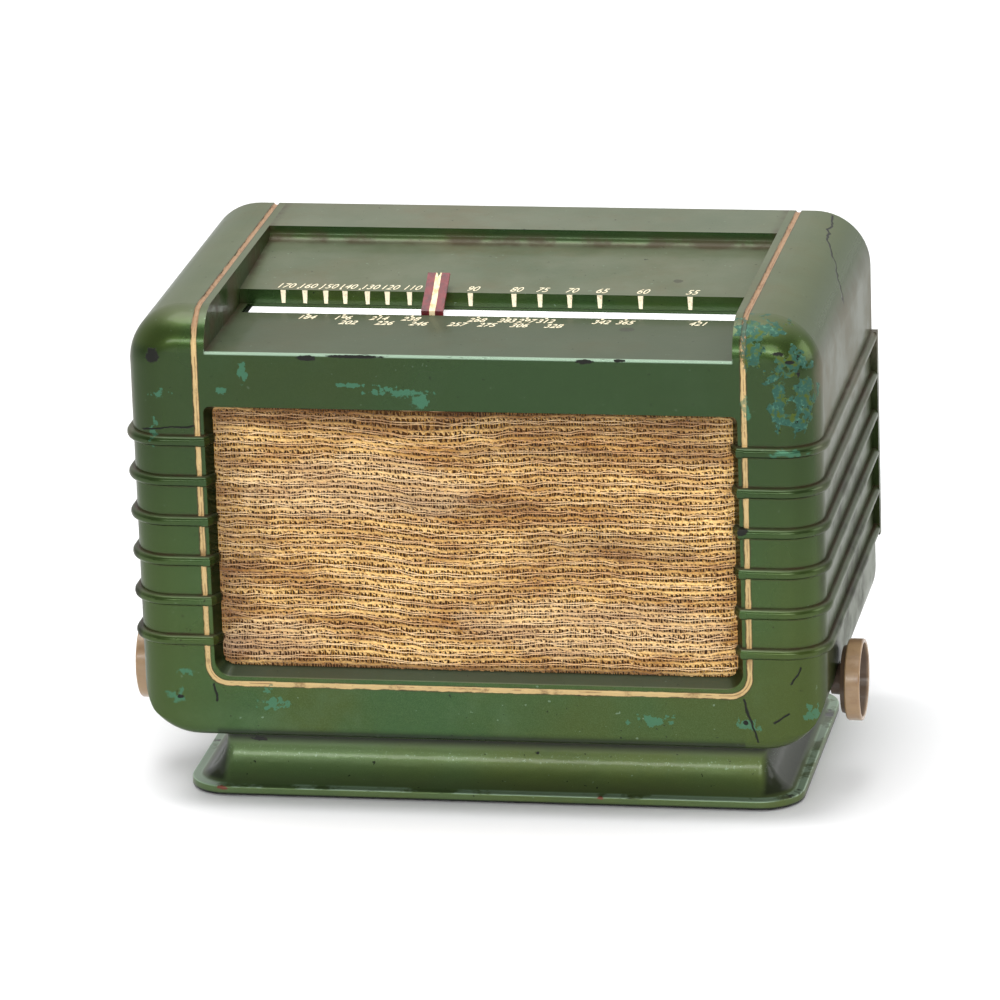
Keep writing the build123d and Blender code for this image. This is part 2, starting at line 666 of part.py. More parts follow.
def tuning_spindle():
    """The tuning spindle with the waist that the drive cord grips."""
    start = CHASSIS_X1 - 14
    end = KNOB_FACE_X - SHAFT_TIP
    groove = SPINDLE_PITCH_R - CORD_D / 2 - CORD_GAP
    points = [
        (0, 0),
        (0, SHAFT_R),
        (BELT_X - start - 3.2, SHAFT_R),
        (BELT_X - start - 3.2, 5.6),
        (BELT_X - start - 1.2, groove),
        (BELT_X - start + 1.2, groove),
        (BELT_X - start + 3.2, 5.6),
        (BELT_X - start + 3.2, SHAFT_R),
        (end - start, SHAFT_R),
        (end - start, 0),
    ]
    return turned((start, TUNING_Y, SHAFT_Z), (1, 0, 0), points)


def bushing(wall_x, side, inner_reach, outer_reach):
    """A brass bush clamped in the chassis end by its own shoulder."""
    points = [
        (-inner_reach, SHAFT_R + RUNNING),
        (-inner_reach, 7.0),
        (0, 7.0),
        (0, 4.7),
        (outer_reach, 4.7),
        (outer_reach, SHAFT_R + RUNNING),
    ]
    return turned((wall_x, shaft_y(side), SHAFT_Z), (side, 0, 0), points)


def hex_nut(face_x, side, thickness):
    nut = Plane(origin=(face_x, shaft_y(side), SHAFT_Z), z_dir=(side, 0, 0)) * RegularPolygon(7.2, 6)
    nut = extrude(nut, thickness)
    return nut - rod((face_x - 5, shaft_y(side), SHAFT_Z), (face_x + 5, shaft_y(side), SHAFT_Z), 4.75)


def chassis():
    """A folded steel pan, open below, with inward flanges and the holes for everything it carries."""
    pan = box_between(CHASSIS_X0, CHASSIS_X1, CHASSIS_Y0, CHASSIS_Y1, CHASSIS_Z0, CHASSIS_Z1)
    pan = fillet(pan.edges().filter_by(Axis.Z), 2)
    inside = box_between(
        CHASSIS_X0 + SHEET,
        CHASSIS_X1 - SHEET,
        CHASSIS_Y0 + SHEET,
        CHASSIS_Y1 - SHEET,
        CHASSIS_Z0 + SHEET,
        CHASSIS_Z1 - SHEET,
    )
    mouth = box_between(
        CHASSIS_X0 + FLANGE,
        CHASSIS_X1 - FLANGE,
        CHASSIS_Y0 + FLANGE,
        CHASSIS_Y1 - FLANGE,
        CHASSIS_Z0 - 1,
        CHASSIS_Z0 + 3,
    )
    pan = pan - inside - mouth
    for x, y in ((CHASSIS_X0 + SHEET, VOLUME_Y), (CHASSIS_X1 - SHEET - FLANGE, TUNING_Y)):
        notch_y = max(y - 12, CHASSIS_Y0 + SHEET)
        pan -= box_between(x, x + FLANGE, notch_y, y + 12, CHASSIS_Z0 - 1, CHASSIS_Z0 + SHEET + 1)
    for x, y in CHASSIS_FEET:
        end_y = CHASSIS_Y1 - 1 if y > 0 else CHASSIS_Y0 + 1
        pad = box_between(x - 9, x + 9, min(y - 9, end_y), max(y + 9, end_y), CHASSIS_Z0, CHASSIS_Z0 + SHEET)
        pan += pad
        pan -= rod((x, y, CHASSIS_Z0 - 1), (x, y, CHASSIS_Z0 + 3), 2.2)
    pan -= rod((CHASSIS_X0 - 2, VOLUME_Y, SHAFT_Z), (CHASSIS_X0 + 3, VOLUME_Y, SHAFT_Z), 4.8)
    pan -= rod((CHASSIS_X1 - 3, TUNING_Y, SHAFT_Z), (CHASSIS_X1 + 2, TUNING_Y, SHAFT_Z), 4.8)
    for x, y, _ in VALVES.values():
        pan -= rod((x, y, CHASSIS_Z1 - 3), (x, y, CHASSIS_Z1 + 1), 12.0)
    return pan


def valve_bulb(x, y, height):
    """A hollow glass envelope with a domed top, seated in its base."""
    r = BASE_R - 0.6
    z0 = BASE_Z0 + 4
    wall = 0.9
    top = height + BASE_H
    outline = [(4, 0), (4, r - 2.2), (BASE_H - 4, r - 2.2), (BASE_H - 1, r), (top - 12, r)]
    steps = 6
    for n in range(1, steps + 1):
        turn = math.pi / 2 * n / steps
        outline.append((top - 12 + 12 * math.sin(turn), max(r * math.cos(turn), 0)))
    neck = r - 2.2 - wall
    inner = [(5, 0), (5, neck), (BASE_H - 4, neck), (BASE_H - 1, r - wall), (top - 12, r - wall)]
    for n in range(1, steps + 1):
        turn = math.pi / 2 * n / steps
        inner.append((top - 12 + (12 - wall) * math.sin(turn), max((r - wall) * math.cos(turn), 0)))
    shell = turned((x, y, z0 - 4), (0, 0, 1), outline) - turned((x, y, z0 - 4), (0, 0, 1), inner)
    return shell


def valve_base(x, y):
    outer = turned(
        (x, y, BASE_Z0),
        (0, 0, 1),
        [(0, 0), (0, BASE_R), (BASE_H - 1, BASE_R), (BASE_H, BASE_R - 0.5), (BASE_H, 0)],
    )
    r = BASE_R - 0.6
    cup = turned(
        (x, y, BASE_Z0),
        (0, 0, 1),
        [(4, 0), (4, r - 2.2), (BASE_H - 4, r - 2.2), (BASE_H - 1, r), (BASE_H + 1, r), (BASE_H + 1, 0)],
    )
    return outer - cup


def valve_electrodes(x, y, height):
    """The anode cylinder, its mica discs and the getter cup seen through the glass."""
    z0 = BASE_Z0 + BASE_H + 3
    z1 = BASE_Z0 + BASE_H + height - 20
    anode = rod((x, y, z0 + 3), (x, y, z1 - 3), 7.0)
    anode += rod((x, y, z0 + 1), (x, y, z0 + 3), 9.5)
    anode += rod((x, y, z1 - 3), (x, y, z1 - 1), 9.5)
    for side in (-5.5, 5.5):
        anode += rod((x + side, y, BASE_Z0 + 5), (x + side, y, z0 + 2), 0.7)
    return anode


def valve_socket(x, y):
    """A moulded octal socket: a disc on the chassis and a body through it."""
    disc = rod((x, y, CHASSIS_Z1), (x, y, BASE_Z0), SOCKET_R)
    disc += rod((x, y, CHASSIS_Z1 - 10), (x, y, CHASSIS_Z1), 11.8)
    return disc


def coil_can(x, y):
    can = box_between(x - 15, x + 15, y - 15, y + 15, CHASSIS_Z1, CHASSIS_Z1 + 62)
    can = fillet(can.edges().filter_by(Axis.Z), 4)
    can = fillet(can.faces().sort_by(Axis.Z)[-1].edges(), 2.5)
    for side in (-6, 6):
        can -= rod((x + side, y, CHASSIS_Z1 + 55), (x + side, y, CHASSIS_Z1 + 65), 2.5)
    return can


def transformer_core():
    """A laminated stack with a window for the winding, on two folded feet."""
    x, y = TRANSFORMER
    core = box_between(x - 30, x + 30, y - 16, y + 16, CHASSIS_Z1 + 2, CHASSIS_Z1 + 56)
    for side in (-1, 1):
        a, b = sorted((x + side * 10, x + side * 20))
        core -= box_between(a, b, y - 20, y + 20, CHASSIS_Z1 + 12, CHASSIS_Z1 + 46)
    core += box_between(x - 30, x + 30, y - 26, y + 26, CHASSIS_Z1, CHASSIS_Z1 + 2)
    return core


def transformer_coil():
    x, y = TRANSFORMER
    coil = box_between(x - 19.6, x + 19.6, y - 25, y + 25, CHASSIS_Z1 + 12.4, CHASSIS_Z1 + 45.6)
    coil = fillet(coil.edges().filter_by(Axis.Z), 6)
    return coil - box_between(x - 10.2, x + 10.2, y - 16.4, y + 16.4, CHASSIS_Z1 + 10, CHASSIS_Z1 + 50)


def output_transformer():
    x, y = OUTPUT_TRANSFORMER
    core = box_between(x - 20, x + 20, y - 9, y + 9, CHASSIS_Z1, CHASSIS_Z1 + 34)
    coil = box_between(x - 13, x + 13, y - 16, y + 16, CHASSIS_Z1 + 7, CHASSIS_Z1 + 27)
    coil = fillet(coil.edges().filter_by(Axis.Z), 5)
    return core + coil


def electrolytic():
    return turned(
        (-72.0, -24.0, CHASSIS_Z1),
        (0, 0, 1),
        [(0, 0), (0, 16), (1.5, 16), (1.5, 12.5), (56, 12.5), (58, 11), (58, 0)],
    )


def volume_control():
    """The volume control with the mains switch on its back, clamped in the chassis end."""
    wall = CHASSIS_X0 + SHEET
    points = [
        (-SHEET - 8, SHAFT_R + RUNNING),
        (-SHEET - 8, 4.7),
        (0, 4.7),
        (0, 8.6),
        (12.0, 8.6),
        (12.0, 7.5),
        (24.0, 7.5),
        (24.0, 0),
        (10.4, 0),
        (10.4, SHAFT_R + RUNNING),
    ]
    return turned((wall, VOLUME_Y, SHAFT_Z), (1, 0, 0), points)


def volume_shaft():
    inner_end = (CHASSIS_X0 + SHEET + 10, VOLUME_Y, SHAFT_Z)
    return rod(inner_end, (-KNOB_FACE_X + SHAFT_TIP, VOLUME_Y, SHAFT_Z), SHAFT_R)


def baffle_board():
    """A plywood board behind the opening, with the loudspeaker's hole."""
    y1 = BOARD_FRONT_Y + BOARD_THICK
    board = box_between(-131, 131, BOARD_FRONT_Y, y1, OPENING_BOTTOM_Z - 7, OPENING_TOP_Z + 7)
    board -= rod((0, BOARD_FRONT_Y - 1, SPEAKER_Z), (0, y1 + 1, SPEAKER_Z), CONE_R + 2)
    for x, z in BOARD_SCREWS:
        board -= rod((x, BOARD_FRONT_Y - 1, z), (x, y1 + 1, z), 1.8)
    for x, z in SPEAKER_SCREWS:
        board -= rod((x, BOARD_FRONT_Y + 1, z), (x, y1 + 1, z), 1.4)
    return board


def grille_cloth():
    return box_between(
        -130, 130, BOARD_FRONT_Y - CLOTH_THICK, BOARD_FRONT_Y, OPENING_BOTTOM_Z - 6, OPENING_TOP_Z + 6
    )


def speaker_basket():
    """A pressed steel basket with four windows, from the rim back to the magnet's seat."""
    y = SPEAKER_Y
    t = 1.2
    points = [
        (0, CONE_R + 2),
        (0, SPEAKER_R),
        (t, SPEAKER_R),
        (t, CONE_R + 4.5),
        (8, CONE_R + 2.5),
        (34, 24.0),
        (40, 24.0),
        (40, 11.0),
        (38.8, 11.0),
        (38.8, 22.8),
        (33.2, 22.8),
        (7.4, CONE_R + 1.2),
    ]
    basket = turned((0, y, SPEAKER_Z), (0, 1, 0), points)
    for n in range(4):
        window = box_between(-14, 14, y + 10, y + 31, 18, 60)
        window = fillet(window.edges().filter_by(Axis.Y), 4)
        basket -= Pos(0, 0, SPEAKER_Z) * (Rot(0, 90 * n, 0) * window)
    for x, z in SPEAKER_SCREWS:
        basket -= rod((x, y - 1, z), (x, y + 3, z), 2.0)
    return basket


def speaker_cone():
    """A paper cone with its rolled surround, centre cap and the voice coil glued to its neck."""
    y = SPEAKER_Y
    t = 0.6
    points = [(2.2, CONE_R + 1), (1.6, CONE_R - 2), (3.0, CONE_R - 4), (4.0, CONE_R - 5), (30, 13), (30, 12)]
    back = [(a + t, r) for a, r in reversed(points[:-1])]
    cone = turned((0, y, SPEAKER_Z), (0, 1, 0), points + [(30 + t, 12)] + back)
    cap = turned(
        (0, y, SPEAKER_Z),
        (0, 1, 0),
        [(22.5, 0), (23.5, 6), (26.0, 10), (29.9, 12.6), (30.6, 11.8), (26.8, 9.4), (24.3, 5.5), (23.3, 0)],
    )
    winding = [(29.8, 9.6), (29.8, 12.3), (30.8, 12.3), (30.8, 10.4), (47, 10.4), (47, 9.6)]
    coil = turned((0, y, SPEAKER_Z), (0, 1, 0), winding)
    return cone + cap + coil


def speaker_magnet():
    """The magnet yoke: a pot with a centre pole that stands inside the voice coil."""
    y = SPEAKER_Y + 40
    points = [
        (0, 11.0),
        (0, 26.0),
        (26, 26.0),
        (26, 0),
        (-3, 0),
        (-3, 9.0),
        (10, 9.0),
        (18, 9.0),
        (18, 20.0),
        (6, 20.0),
        (6, 11.0),
    ]
    return turned((0, y, SPEAKER_Z), (0, 1, 0), points)


def rear_cover():
    """A pressed board with rows of slots over the valves and small ones below."""
    z0, z1 = BOTTOM_Z + WALL + COVER_GAP, TOP_Z - WALL - COVER_GAP
    half = HALF_WIDTH - WALL - COVER_GAP
    inset = WALL + COVER_GAP
    face = upright(-half, half, z0, z1, TOP_SIDE_RADIUS - inset, BOTTOM_SIDE_RADIUS - inset)
    board = Pos(0, REAR_Y, 0) * extrude(face, COVER_THICK)
    slots = []
    for row in range(4):
        for col in range(11):
            x, z = -120 + 24 * col, 150 + 15 * row
            slots.append((x, z, 16, 4.5))
    for row in range(2):
        for col in range(7):
            x, z = -84 + 28 * col, 92 + 15 * row
            slots.append((x, z, 18, 4.5))
    for x, z, length, width in slots:
        slot = Plane(origin=(x, REAR_Y - 5, z), x_dir=(1, 0, 0), z_dir=(0, 1, 0)) * SlotOverall(length, width)
        board -= extrude(slot, 8)
    for x, z in COVER_SCREWS:
        board -= rod((x, REAR_Y - 5, z), (x, REAR_Y + 2, z), 1.8)
    board -= rod((GROMMET_X, REAR_Y - 5, GROMMET_Z), (GROMMET_X, REAR_Y + 2, GROMMET_Z), 6.0)
    x, z = TERMINAL_X, TERMINAL_Z
    board -= box_between(x - 19, x + 19, REAR_Y - 5, REAR_Y + 2, z - 8, z + 8)
    return board


def grommet():
    """The rubber bush in the cover where the mains lead would pass."""
    points = [(-5, 3.6), (-5, 8), (-3.1, 8), (-3.1, 5.9), (0.1, 5.9), (0.1, 8), (1.6, 8), (2.2, 7), (2.2, 3.6)]
    return turned((GROMMET_X, REAR_Y, GROMMET_Z), (0, 1, 0), points)


def terminal_strip():
    """The aerial and earth strip on the chassis's rear wall, seen through the cover."""
    x, z = TERMINAL_X, TERMINAL_Z
    strip = box_between(x - 17, x + 17, CHASSIS_Y1, CHASSIS_Y1 + 4, z - 6.5, z + 6.5)
    return fillet(strip.edges().filter_by(Axis.Y), 2)


def terminal_screws():
    screws = []
    for side in (-1, 1):
        x = TERMINAL_X + side * 9.5
        points = [(0, 0), (0, 4.2), (2.2, 4.2), (2.2, 3.2), (4.6, 3.2), (5.2, 2.4), (5.2, 0)]
        screws.append(turned((x, CHASSIS_Y1 + 4, TERMINAL_Z), (0, 1, 0), points))
    return group(screws)


def dial_diffuser():
    """An opal strip that stands in the rear of the slot, lit from below, with a lip under the shelf."""
    z0 = SHELF_Z - RECESS_WALL - 2.5
    strip = box_between(-SLOT_HALF + 0.3, SLOT_HALF - 0.3, STRIP_FRONT_Y, SLOT_REAR_Y - 0.2, z0, SHELF_Z - 1.2)
    return strip + box_between(-SLOT_HALF - 4, SLOT_HALF + 4, STRIP_FRONT_Y, -13.5, z0, SHELF_Z - RECESS_WALL)


def pointer():
    """A painted blade: it rises through the slot, leans back over the riser and ends in a swallow tail."""
    y0, z0 = -29.4, SHELF_Z + 1.2
    run = 21.0
    tail = (y0 + run, z0 + run * POINTER_SLOPE)
    normal = Vector(0, -POINTER_SLOPE, 1).normalized() * POINTER_T
    outline = Polyline(
        (y0, RAIL_Z + 8),
        (y0, z0 + 0.6),
        (tail[0] + normal.Y, tail[1] + normal.Z),
        tail,
        (y0 + POINTER_T, z0),
        (y0 + POINTER_T, RAIL_Z + 8),
        close=True,
    )
    blade = extrude(Plane.YZ * make_face(outline), POINTER_HALF, both=True)
    notch = make_face(Polyline((-1.9, tail[0] + 2), (1.9, tail[0] + 2), (0, tail[0] - 2.6), close=True))
    blade -= Pos(0, 0, z0) * extrude(notch, 30)
    return Pos(POINTER_X, 0, 0) * blade


def pointer_carriage():
    """A slider on the guide rail, with the clamp for the cord."""
    block = box_between(-11, 11, CORD_Y - 3.5, -28.4, RAIL_Z - 4, RAIL_Z + 10)
    block -= rod((-20, RAIL_Y, RAIL_Z), (20, RAIL_Y, RAIL_Z), RAIL_R + RUNNING)
    block -= box_between(-12, 12, CORD_Y - 4, CORD_Y + 4, RAIL_Z - 5, RUN_TOP_Z - 3)
    block -= rod((-20, CORD_Y, RUN_TOP_Z), (20, CORD_Y, RUN_TOP_Z), CORD_D / 2 + 0.35)
    block -= box_between(-POINTER_HALF, POINTER_HALF, -29.4, -27, RAIL_Z + 8, RAIL_Z + 11)
    return Pos(POINTER_X, 0, 0) * block


def pointer_rail():
    return rod((-RAIL_HALF, RAIL_Y, RAIL_Z), (RAIL_HALF, RAIL_Y, RAIL_Z), RAIL_R)


def dial_brackets():
    """Steel brackets under the dial shelf: each carries an end of the rail and its pulleys."""
    top = SHELF_Z - RECESS_WALL
    back = CORD_Y + 3.4
    left = box_between(FAR_PULLEY_X - 12, -RAIL_HALF + 3, back, back + PLATE_T, RETURN_Z - 2, top)
    left += box_between(FAR_PULLEY_X - 12, -RAIL_HALF + 18, back, SLOT_FRONT_Y, top - PLATE_T, top)
    left += box_between(-RAIL_HALF + 1, -RAIL_HALF + 3, back, RAIL_Y + 5, RAIL_Z - 5, top)
    centre = PULLEYS["pulley_left"][0]
    left -= rod((centre[0], back - 5, centre[2]), (centre[0], back + 5, centre[2]), 1.5)
    left -= rod((-140, RAIL_Y, RAIL_Z), (-120, RAIL_Y, RAIL_Z), RAIL_R)
    x1 = RAIL_HALF - 1
    centre = PULLEYS["pulley_right"][0]
    right = box_between(centre[0] - 12, x1, back, back + PLATE_T, RUN_TOP_Z - 16, top)
    right += box_between(centre[0] - 12, x1, back, SLOT_FRONT_Y, top - PLATE_T, top)
    right += box_between(x1 - 2, x1, back, RAIL_Y + 5, RAIL_Z - 5, top)
    right -= rod((centre[0], back - 5, centre[2]), (centre[0], back + 5, centre[2]), 1.5)
    right -= rod((120, RAIL_Y, RAIL_Z), (140, RAIL_Y, RAIL_Z), RAIL_R)
    shelf_z = RETURN_Z + 3.4
    shelf = box_between(centre[0] - 12, x1, back, CORD_Y + SMALL_PULLEY_R + 6, shelf_z, shelf_z + PLATE_T)
    shelf += box_between(centre[0] - 12, x1, back, back + PLATE_T, shelf_z, RUN_TOP_Z - 15)
    corner = PULLEYS["pulley_corner"][0]
    shelf -= rod((corner[0], corner[1], shelf_z - 3), (corner[0], corner[1], shelf_z + 5), 1.5)
    right += shelf
    return left, right


def rear_pulley_bracket():
    """An upright from the chassis end that carries the rear pulley."""
    centre = PULLEYS["pulley_rear"][0]
    x0 = CHASSIS_X1
    arm = box_between(x0, x0 + PLATE_T, centre[1] - 8, centre[1] + 8, CHASSIS_Z1 - 36, centre[2] + 8)
    arm -= rod((x0, centre[1], centre[2]), (x0 + 10, centre[1], centre[2]), 1.5)
    return arm


def pulley_pins():
    right, left = PULLEYS["pulley_right"][0], PULLEYS["pulley_left"][0]
    corner, rear = PULLEYS["pulley_corner"][0], PULLEYS["pulley_rear"][0]
    return group(
        [
            pulley_pin(right, (0, 1, 0), 5.0),
            pulley_pin(left, (0, 1, 0), 5.0),
            pulley_pin(corner, (0, 0, 1), 5.0),
            pulley_pin(rear, (-1, 0, 0), CORD_X - CHASSIS_X1),
        ]
    )


def lamp_holders():
    """Sprung lampholders on straps that hang from the dial shelf."""
    top = SHELF_Z - RECESS_WALL
    holders = []
    for x in LAMPS:
        strap = box_between(x - 6, x + 6, -9.0, -7.8, LAMP_Z - 16, top + 7.2)
        strap += box_between(x - 6, x + 6, LAMP_Y - 6, -7.8, LAMP_Z - 17.2, LAMP_Z - 16)
        cup = rod((x, LAMP_Y, LAMP_Z - 16), (x, LAMP_Y, LAMP_Z - 8), 6.2)
        cup -= rod((x, LAMP_Y, LAMP_Z - 15), (x, LAMP_Y, LAMP_Z - 7), 5.0)
        holders.append(strap + cup)
    return group(holders)


def lamp_bulbs():
    bulbs = []
    for x in LAMPS:
        points = [(-14.9, 0), (-14.9, 4.0), (-13.5, 4.95), (-5, 4.95), (-4, 4.2), (-2, 4.8), (1, 5.4)]
        for n in range(1, 7):
            turn = math.pi / 2 * n / 6
            points.append((2 + 5.4 * math.sin(turn), max(5.4 * math.cos(turn), 0)))
        bulbs.append(turned((x, LAMP_Y, LAMP_Z), (0, 0, 1), points))
    return group(bulbs)


def drum_spring():
    """The tension spring across the drum that keeps both cords tight, as its close-wound barrel."""
    x = CORD_X + 2.8
    y, z = DRUM_Y + 30, DRUM_Z + 14
    barrel = rod((x, y, z - 14), (x, y, z + 14), 1.6)
    for end in (-13.2, 13.2):
        barrel += rod((x - 4.3, y, z + end), (x + 0.6, y, z + end), 0.8)
    return barrel


save("cabinet", cabinet())
save("plinth", plinth())
save("plinth_feet", group(rod((x, y, 0), (x, y, PLINTH_LIFT + 1), 6.0) for x, y in FEET))
save(
    "plinth_screws",
    group(
        wood_screw((x, y, BOTTOM_Z + WALL + 3), (0, 0, -1), BOTTOM_Z + WALL + 3 - BOSS_Z, 1.9, 3.8, 2.4)
        for x, y in PLINTH_FIXINGS
    ),
)
save("dial_diffuser", dial_diffuser())
save("pointer", pointer())
save("pointer_carriage", pointer_carriage())
save("pointer_rail", pointer_rail())
save("pulley_brackets", group([*dial_brackets(), rear_pulley_bracket()]))
for name, (centre, axis, radius) in PULLEYS.items():
    save(name, pulley(centre, axis, radius))
save("pulley_pins", pulley_pins())
save("pointer_cord", pointer_cord())
save("drive_cord", drive_cord())
save("cord_drum", drum())
save("drum_spring", drum_spring())
save("gang_frame", gang_frame())
save("gang_rotor", gang_rotor())
save("gang_stators", gang_stators())
save("stator_insulators", stator_insulators())
save("tuning_spindle", tuning_spindle())
save("tuning_bushing", bushing(CHASSIS_X1 - SHEET, 1, 6.0, 5.4))
save("control_nuts", group([hex_nut(CHASSIS_X1, 1, 2.4), hex_nut(CHASSIS_X0, -1, 2.4)]))
save("tuning_knob", knob(1))
save("volume_control", volume_control())
save("volume_shaft", volume_shaft())
save("volume_knob", knob(-1))
save("chassis", chassis())
save(
    "chassis_screws",
    group(wood_screw((x, y, CHASSIS_Z0 + SHEET + 4), (0, 0, -1), 14, 2.1, 4.2, 2.8) for x, y in CHASSIS_FEET),
)
save("baffle_board", baffle_board())
save("grille_cloth", grille_cloth())
save(
    "board_screws",
    group(
        wood_screw((x, FRONT_Y + REVEAL_DEPTH + 0.8, z), (0, 1, 0), BOARD_THICK, 1.7, 3.4, 2.2)
        for x, z in BOARD_SCREWS
    ),
)
save("speaker_basket", speaker_basket())
save("speaker_cone", speaker_cone())
save("speaker_magnet", speaker_magnet())
save(
    "speaker_screws",
    group(
        wood_screw((x, BOARD_FRONT_Y + 1, z), (0, 1, 0), BOARD_THICK - 1 + 1.2, 1.4, 3.0, 2.0)
        for x, z in SPEAKER_SCREWS
    ),
)
for name, (x, y, height) in VALVES.items():
    save(name, valve_bulb(x, y, height))
save("valve_bases", group(valve_base(x, y) for x, y, _ in VALVES.values()))
save("valve_electrodes", group(valve_electrodes(x, y, h) for x, y, h in VALVES.values()))
save("valve_sockets", group(valve_socket(x, y) for x, y, _ in VALVES.values()))
save("coil_cans", group(coil_can(x, y) for x, y in CANS))
save("transformer_core", transformer_core())
save("transformer_coil", transformer_coil())
save("output_transformer", output_transformer())
save("electrolytic_can", electrolytic())
save("lamp_holders", lamp_holders())
save("lamp_bulbs", lamp_bulbs())
save("rear_cover", rear_cover())
save("inlet_grommet", grommet())
save("terminal_strip", terminal_strip())
save("terminal_screws", terminal_screws())
save(
    "cover_screws",
    group(wood_screw((x, REAR_Y - 18, z), (0, 1, 0), 18, 1.5, 3.6, 3.0) for x, z in COVER_SCREWS),
)
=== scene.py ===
import math
import bpy
import numpy as np
from mathutils import Euler, Matrix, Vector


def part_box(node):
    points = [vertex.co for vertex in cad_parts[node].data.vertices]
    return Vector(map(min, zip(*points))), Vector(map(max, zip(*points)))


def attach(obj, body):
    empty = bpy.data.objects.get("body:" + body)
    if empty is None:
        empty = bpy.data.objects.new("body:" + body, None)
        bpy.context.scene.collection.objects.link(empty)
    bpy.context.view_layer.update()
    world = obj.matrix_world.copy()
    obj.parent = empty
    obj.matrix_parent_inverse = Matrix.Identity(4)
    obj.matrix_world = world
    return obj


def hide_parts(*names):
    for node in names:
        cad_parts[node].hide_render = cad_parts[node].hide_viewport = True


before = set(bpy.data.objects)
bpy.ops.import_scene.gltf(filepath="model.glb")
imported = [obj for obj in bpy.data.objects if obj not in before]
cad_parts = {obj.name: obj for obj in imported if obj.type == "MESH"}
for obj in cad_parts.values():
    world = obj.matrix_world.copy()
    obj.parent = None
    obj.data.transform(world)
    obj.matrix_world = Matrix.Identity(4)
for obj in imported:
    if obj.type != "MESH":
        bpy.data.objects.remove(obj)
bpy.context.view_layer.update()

# The camera stands in front of the radio, a little to its right, and looks down on the dial.
# It is far away behind a long lens, so the cabinet's sides hardly converge.
CAMERA_PLACE = (0.586, -3.1733, 1.1437)
CAMERA_YAW, CAMERA_PITCH, CAMERA_ROLL = 0.184, -0.306, -0.034
camera = bpy.data.objects.new("camera", bpy.data.cameras.new("camera"))
bpy.context.scene.collection.objects.link(camera)
camera.data.lens = 259.66
camera.data.sensor_width = 36.0
camera.location = CAMERA_PLACE
aim = Euler((math.pi / 2 + CAMERA_PITCH, 0, CAMERA_YAW)).to_matrix() @ Matrix.Rotation(CAMERA_ROLL, 3, "Z")
camera.rotation_euler = aim.to_euler()
bpy.context.scene.camera = camera
bpy.context.scene.view_settings.view_transform = "Standard"


# The cabinet is one phenolic moulding, nearly black, sprayed outside with green metallic lacquer. A cream
# line is painted in the groove over the top, down the front and under the grille. The lacquer has worn to an
# older teal coat at the shoulders and to black moulding at the chips, and dust has settled on the top.
MM = 0.001
GREEN, OLIVE, DUST = (43, 73, 35), (58, 70, 18), (108, 110, 92)
TEAL, PALE, SOOT, BROWN_DIRT = (58, 112, 88), (158, 184, 160), (12, 12, 10), (58, 42, 26)
CREAM, CREAM_TOP = (204, 178, 128), (150, 116, 92)
TRIM_HALF_X, TRIM_TURN_Z, TRIM_TURN = 116.8, 72.5, 9.5
RIB_TOP, RIB_PITCH = 180.0, 19.2
FACE_Y, FASCIA_TOP = -96.0, 222.5


def shade(color, strength=1.0):
    """A colour given by its screen values from 0 to 255, as linear light with alpha."""
    parts = np.array(color, float) / 255
    linear = np.where(parts <= 0.04045, parts / 12.92, ((parts + 0.055) / 1.055) ** 2.4) * strength
    return (*linear.tolist(), 1.0)


class Bench:
    """Puts shader nodes into the tree of a material or of a group, and wires them. Every method that works on
    numbers or colours returns the socket that carries its result."""

    def __init__(self, tree):
        self.tree = tree

    def put(self, kind, values=(), **settings):
        """One node with its settings, its inputs fed in order or by name."""
        made = self.tree.nodes.new("ShaderNode" + kind)
        for name, value in settings.items():
            setattr(made, name, value)
        for key, value in values.items() if isinstance(values, dict) else enumerate(values):
            self.feed(made.inputs[key], value)
        return made

    def feed(self, socket, value):
        """Links a socket into another, or sets it to a plain value."""
        if isinstance(value, bpy.types.NodeSocket):
            self.tree.links.new(value, socket)
        elif value is not None:
            socket.default_value = value

    def place(self):
        """Where a point of the surface lies, in metres in the radio's own frame."""
        return self.put("TexCoord").outputs["Object"]

    def axes(self, place):
        return self.put("SeparateXYZ", [place]).outputs

    def math(self, operation, *values):
        return self.put("Math", values, operation=operation).outputs[0]

    def times(self, *factors):
        """The product of all factors."""
        found = factors[0]
        for factor in factors[1:]:
            found = self.math("MULTIPLY", found, factor)
        return found

    def plus(self, first, second):
        return self.math("ADD", first, second)

    def minus(self, first, second):
        return self.math("SUBTRACT", first, second)

    def vector(self, operation, *values):
        made = self.put("VectorMath", values, operation=operation)
        return made.outputs["Value" if operation in ("LENGTH", "DOT_PRODUCT") else "Vector"]

    def blend(self, mask, under, over):
        """The colour over where the mask is 1, and under where it is 0."""
        return self.put("Mix", {0: mask, 6: under, 7: over}, data_type="RGBA").outputs[2]

    def between(self, mask, low, high):
        """The number low where the mask is 0, and high where it is 1."""
        return self.put("Mix", {0: mask, 2: low, 3: high}).outputs[0]

    def fade(self, value, start, end):
        """0 on the start side and 1 on the end side, smoothly between."""
        values = {"Value": value, "From Min": start, "From Max": end}
        return self.put("MapRange", values, interpolation_type="SMOOTHSTEP").outputs[0]

    def noise(self, place, scale, detail=3.0, rough=0.5, stretch=None):
        """Cloudy noise; an axis whose stretch is below 1 has its clouds drawn out along it."""
        if stretch:
            place = self.vector("MULTIPLY", place, stretch)
        values = {"Vector": place, "Scale": scale, "Detail": detail, "Roughness": rough}
        return self.put("TexNoise", values).outputs["Fac"]

    def group(self, tree, **values):
        """Places a node group and feeds its named inputs."""
        made = self.put("Group", node_tree=tree)
        for name, value in values.items():
            self.feed(made.inputs[name], value)
        return made.outputs

    def highest(self, *masks):
        """The union of masks: the greatest of them at every point."""
        found = masks[0]
        for mask in masks[1:]:
            found = self.math("MAXIMUM", found, mask)
        return found


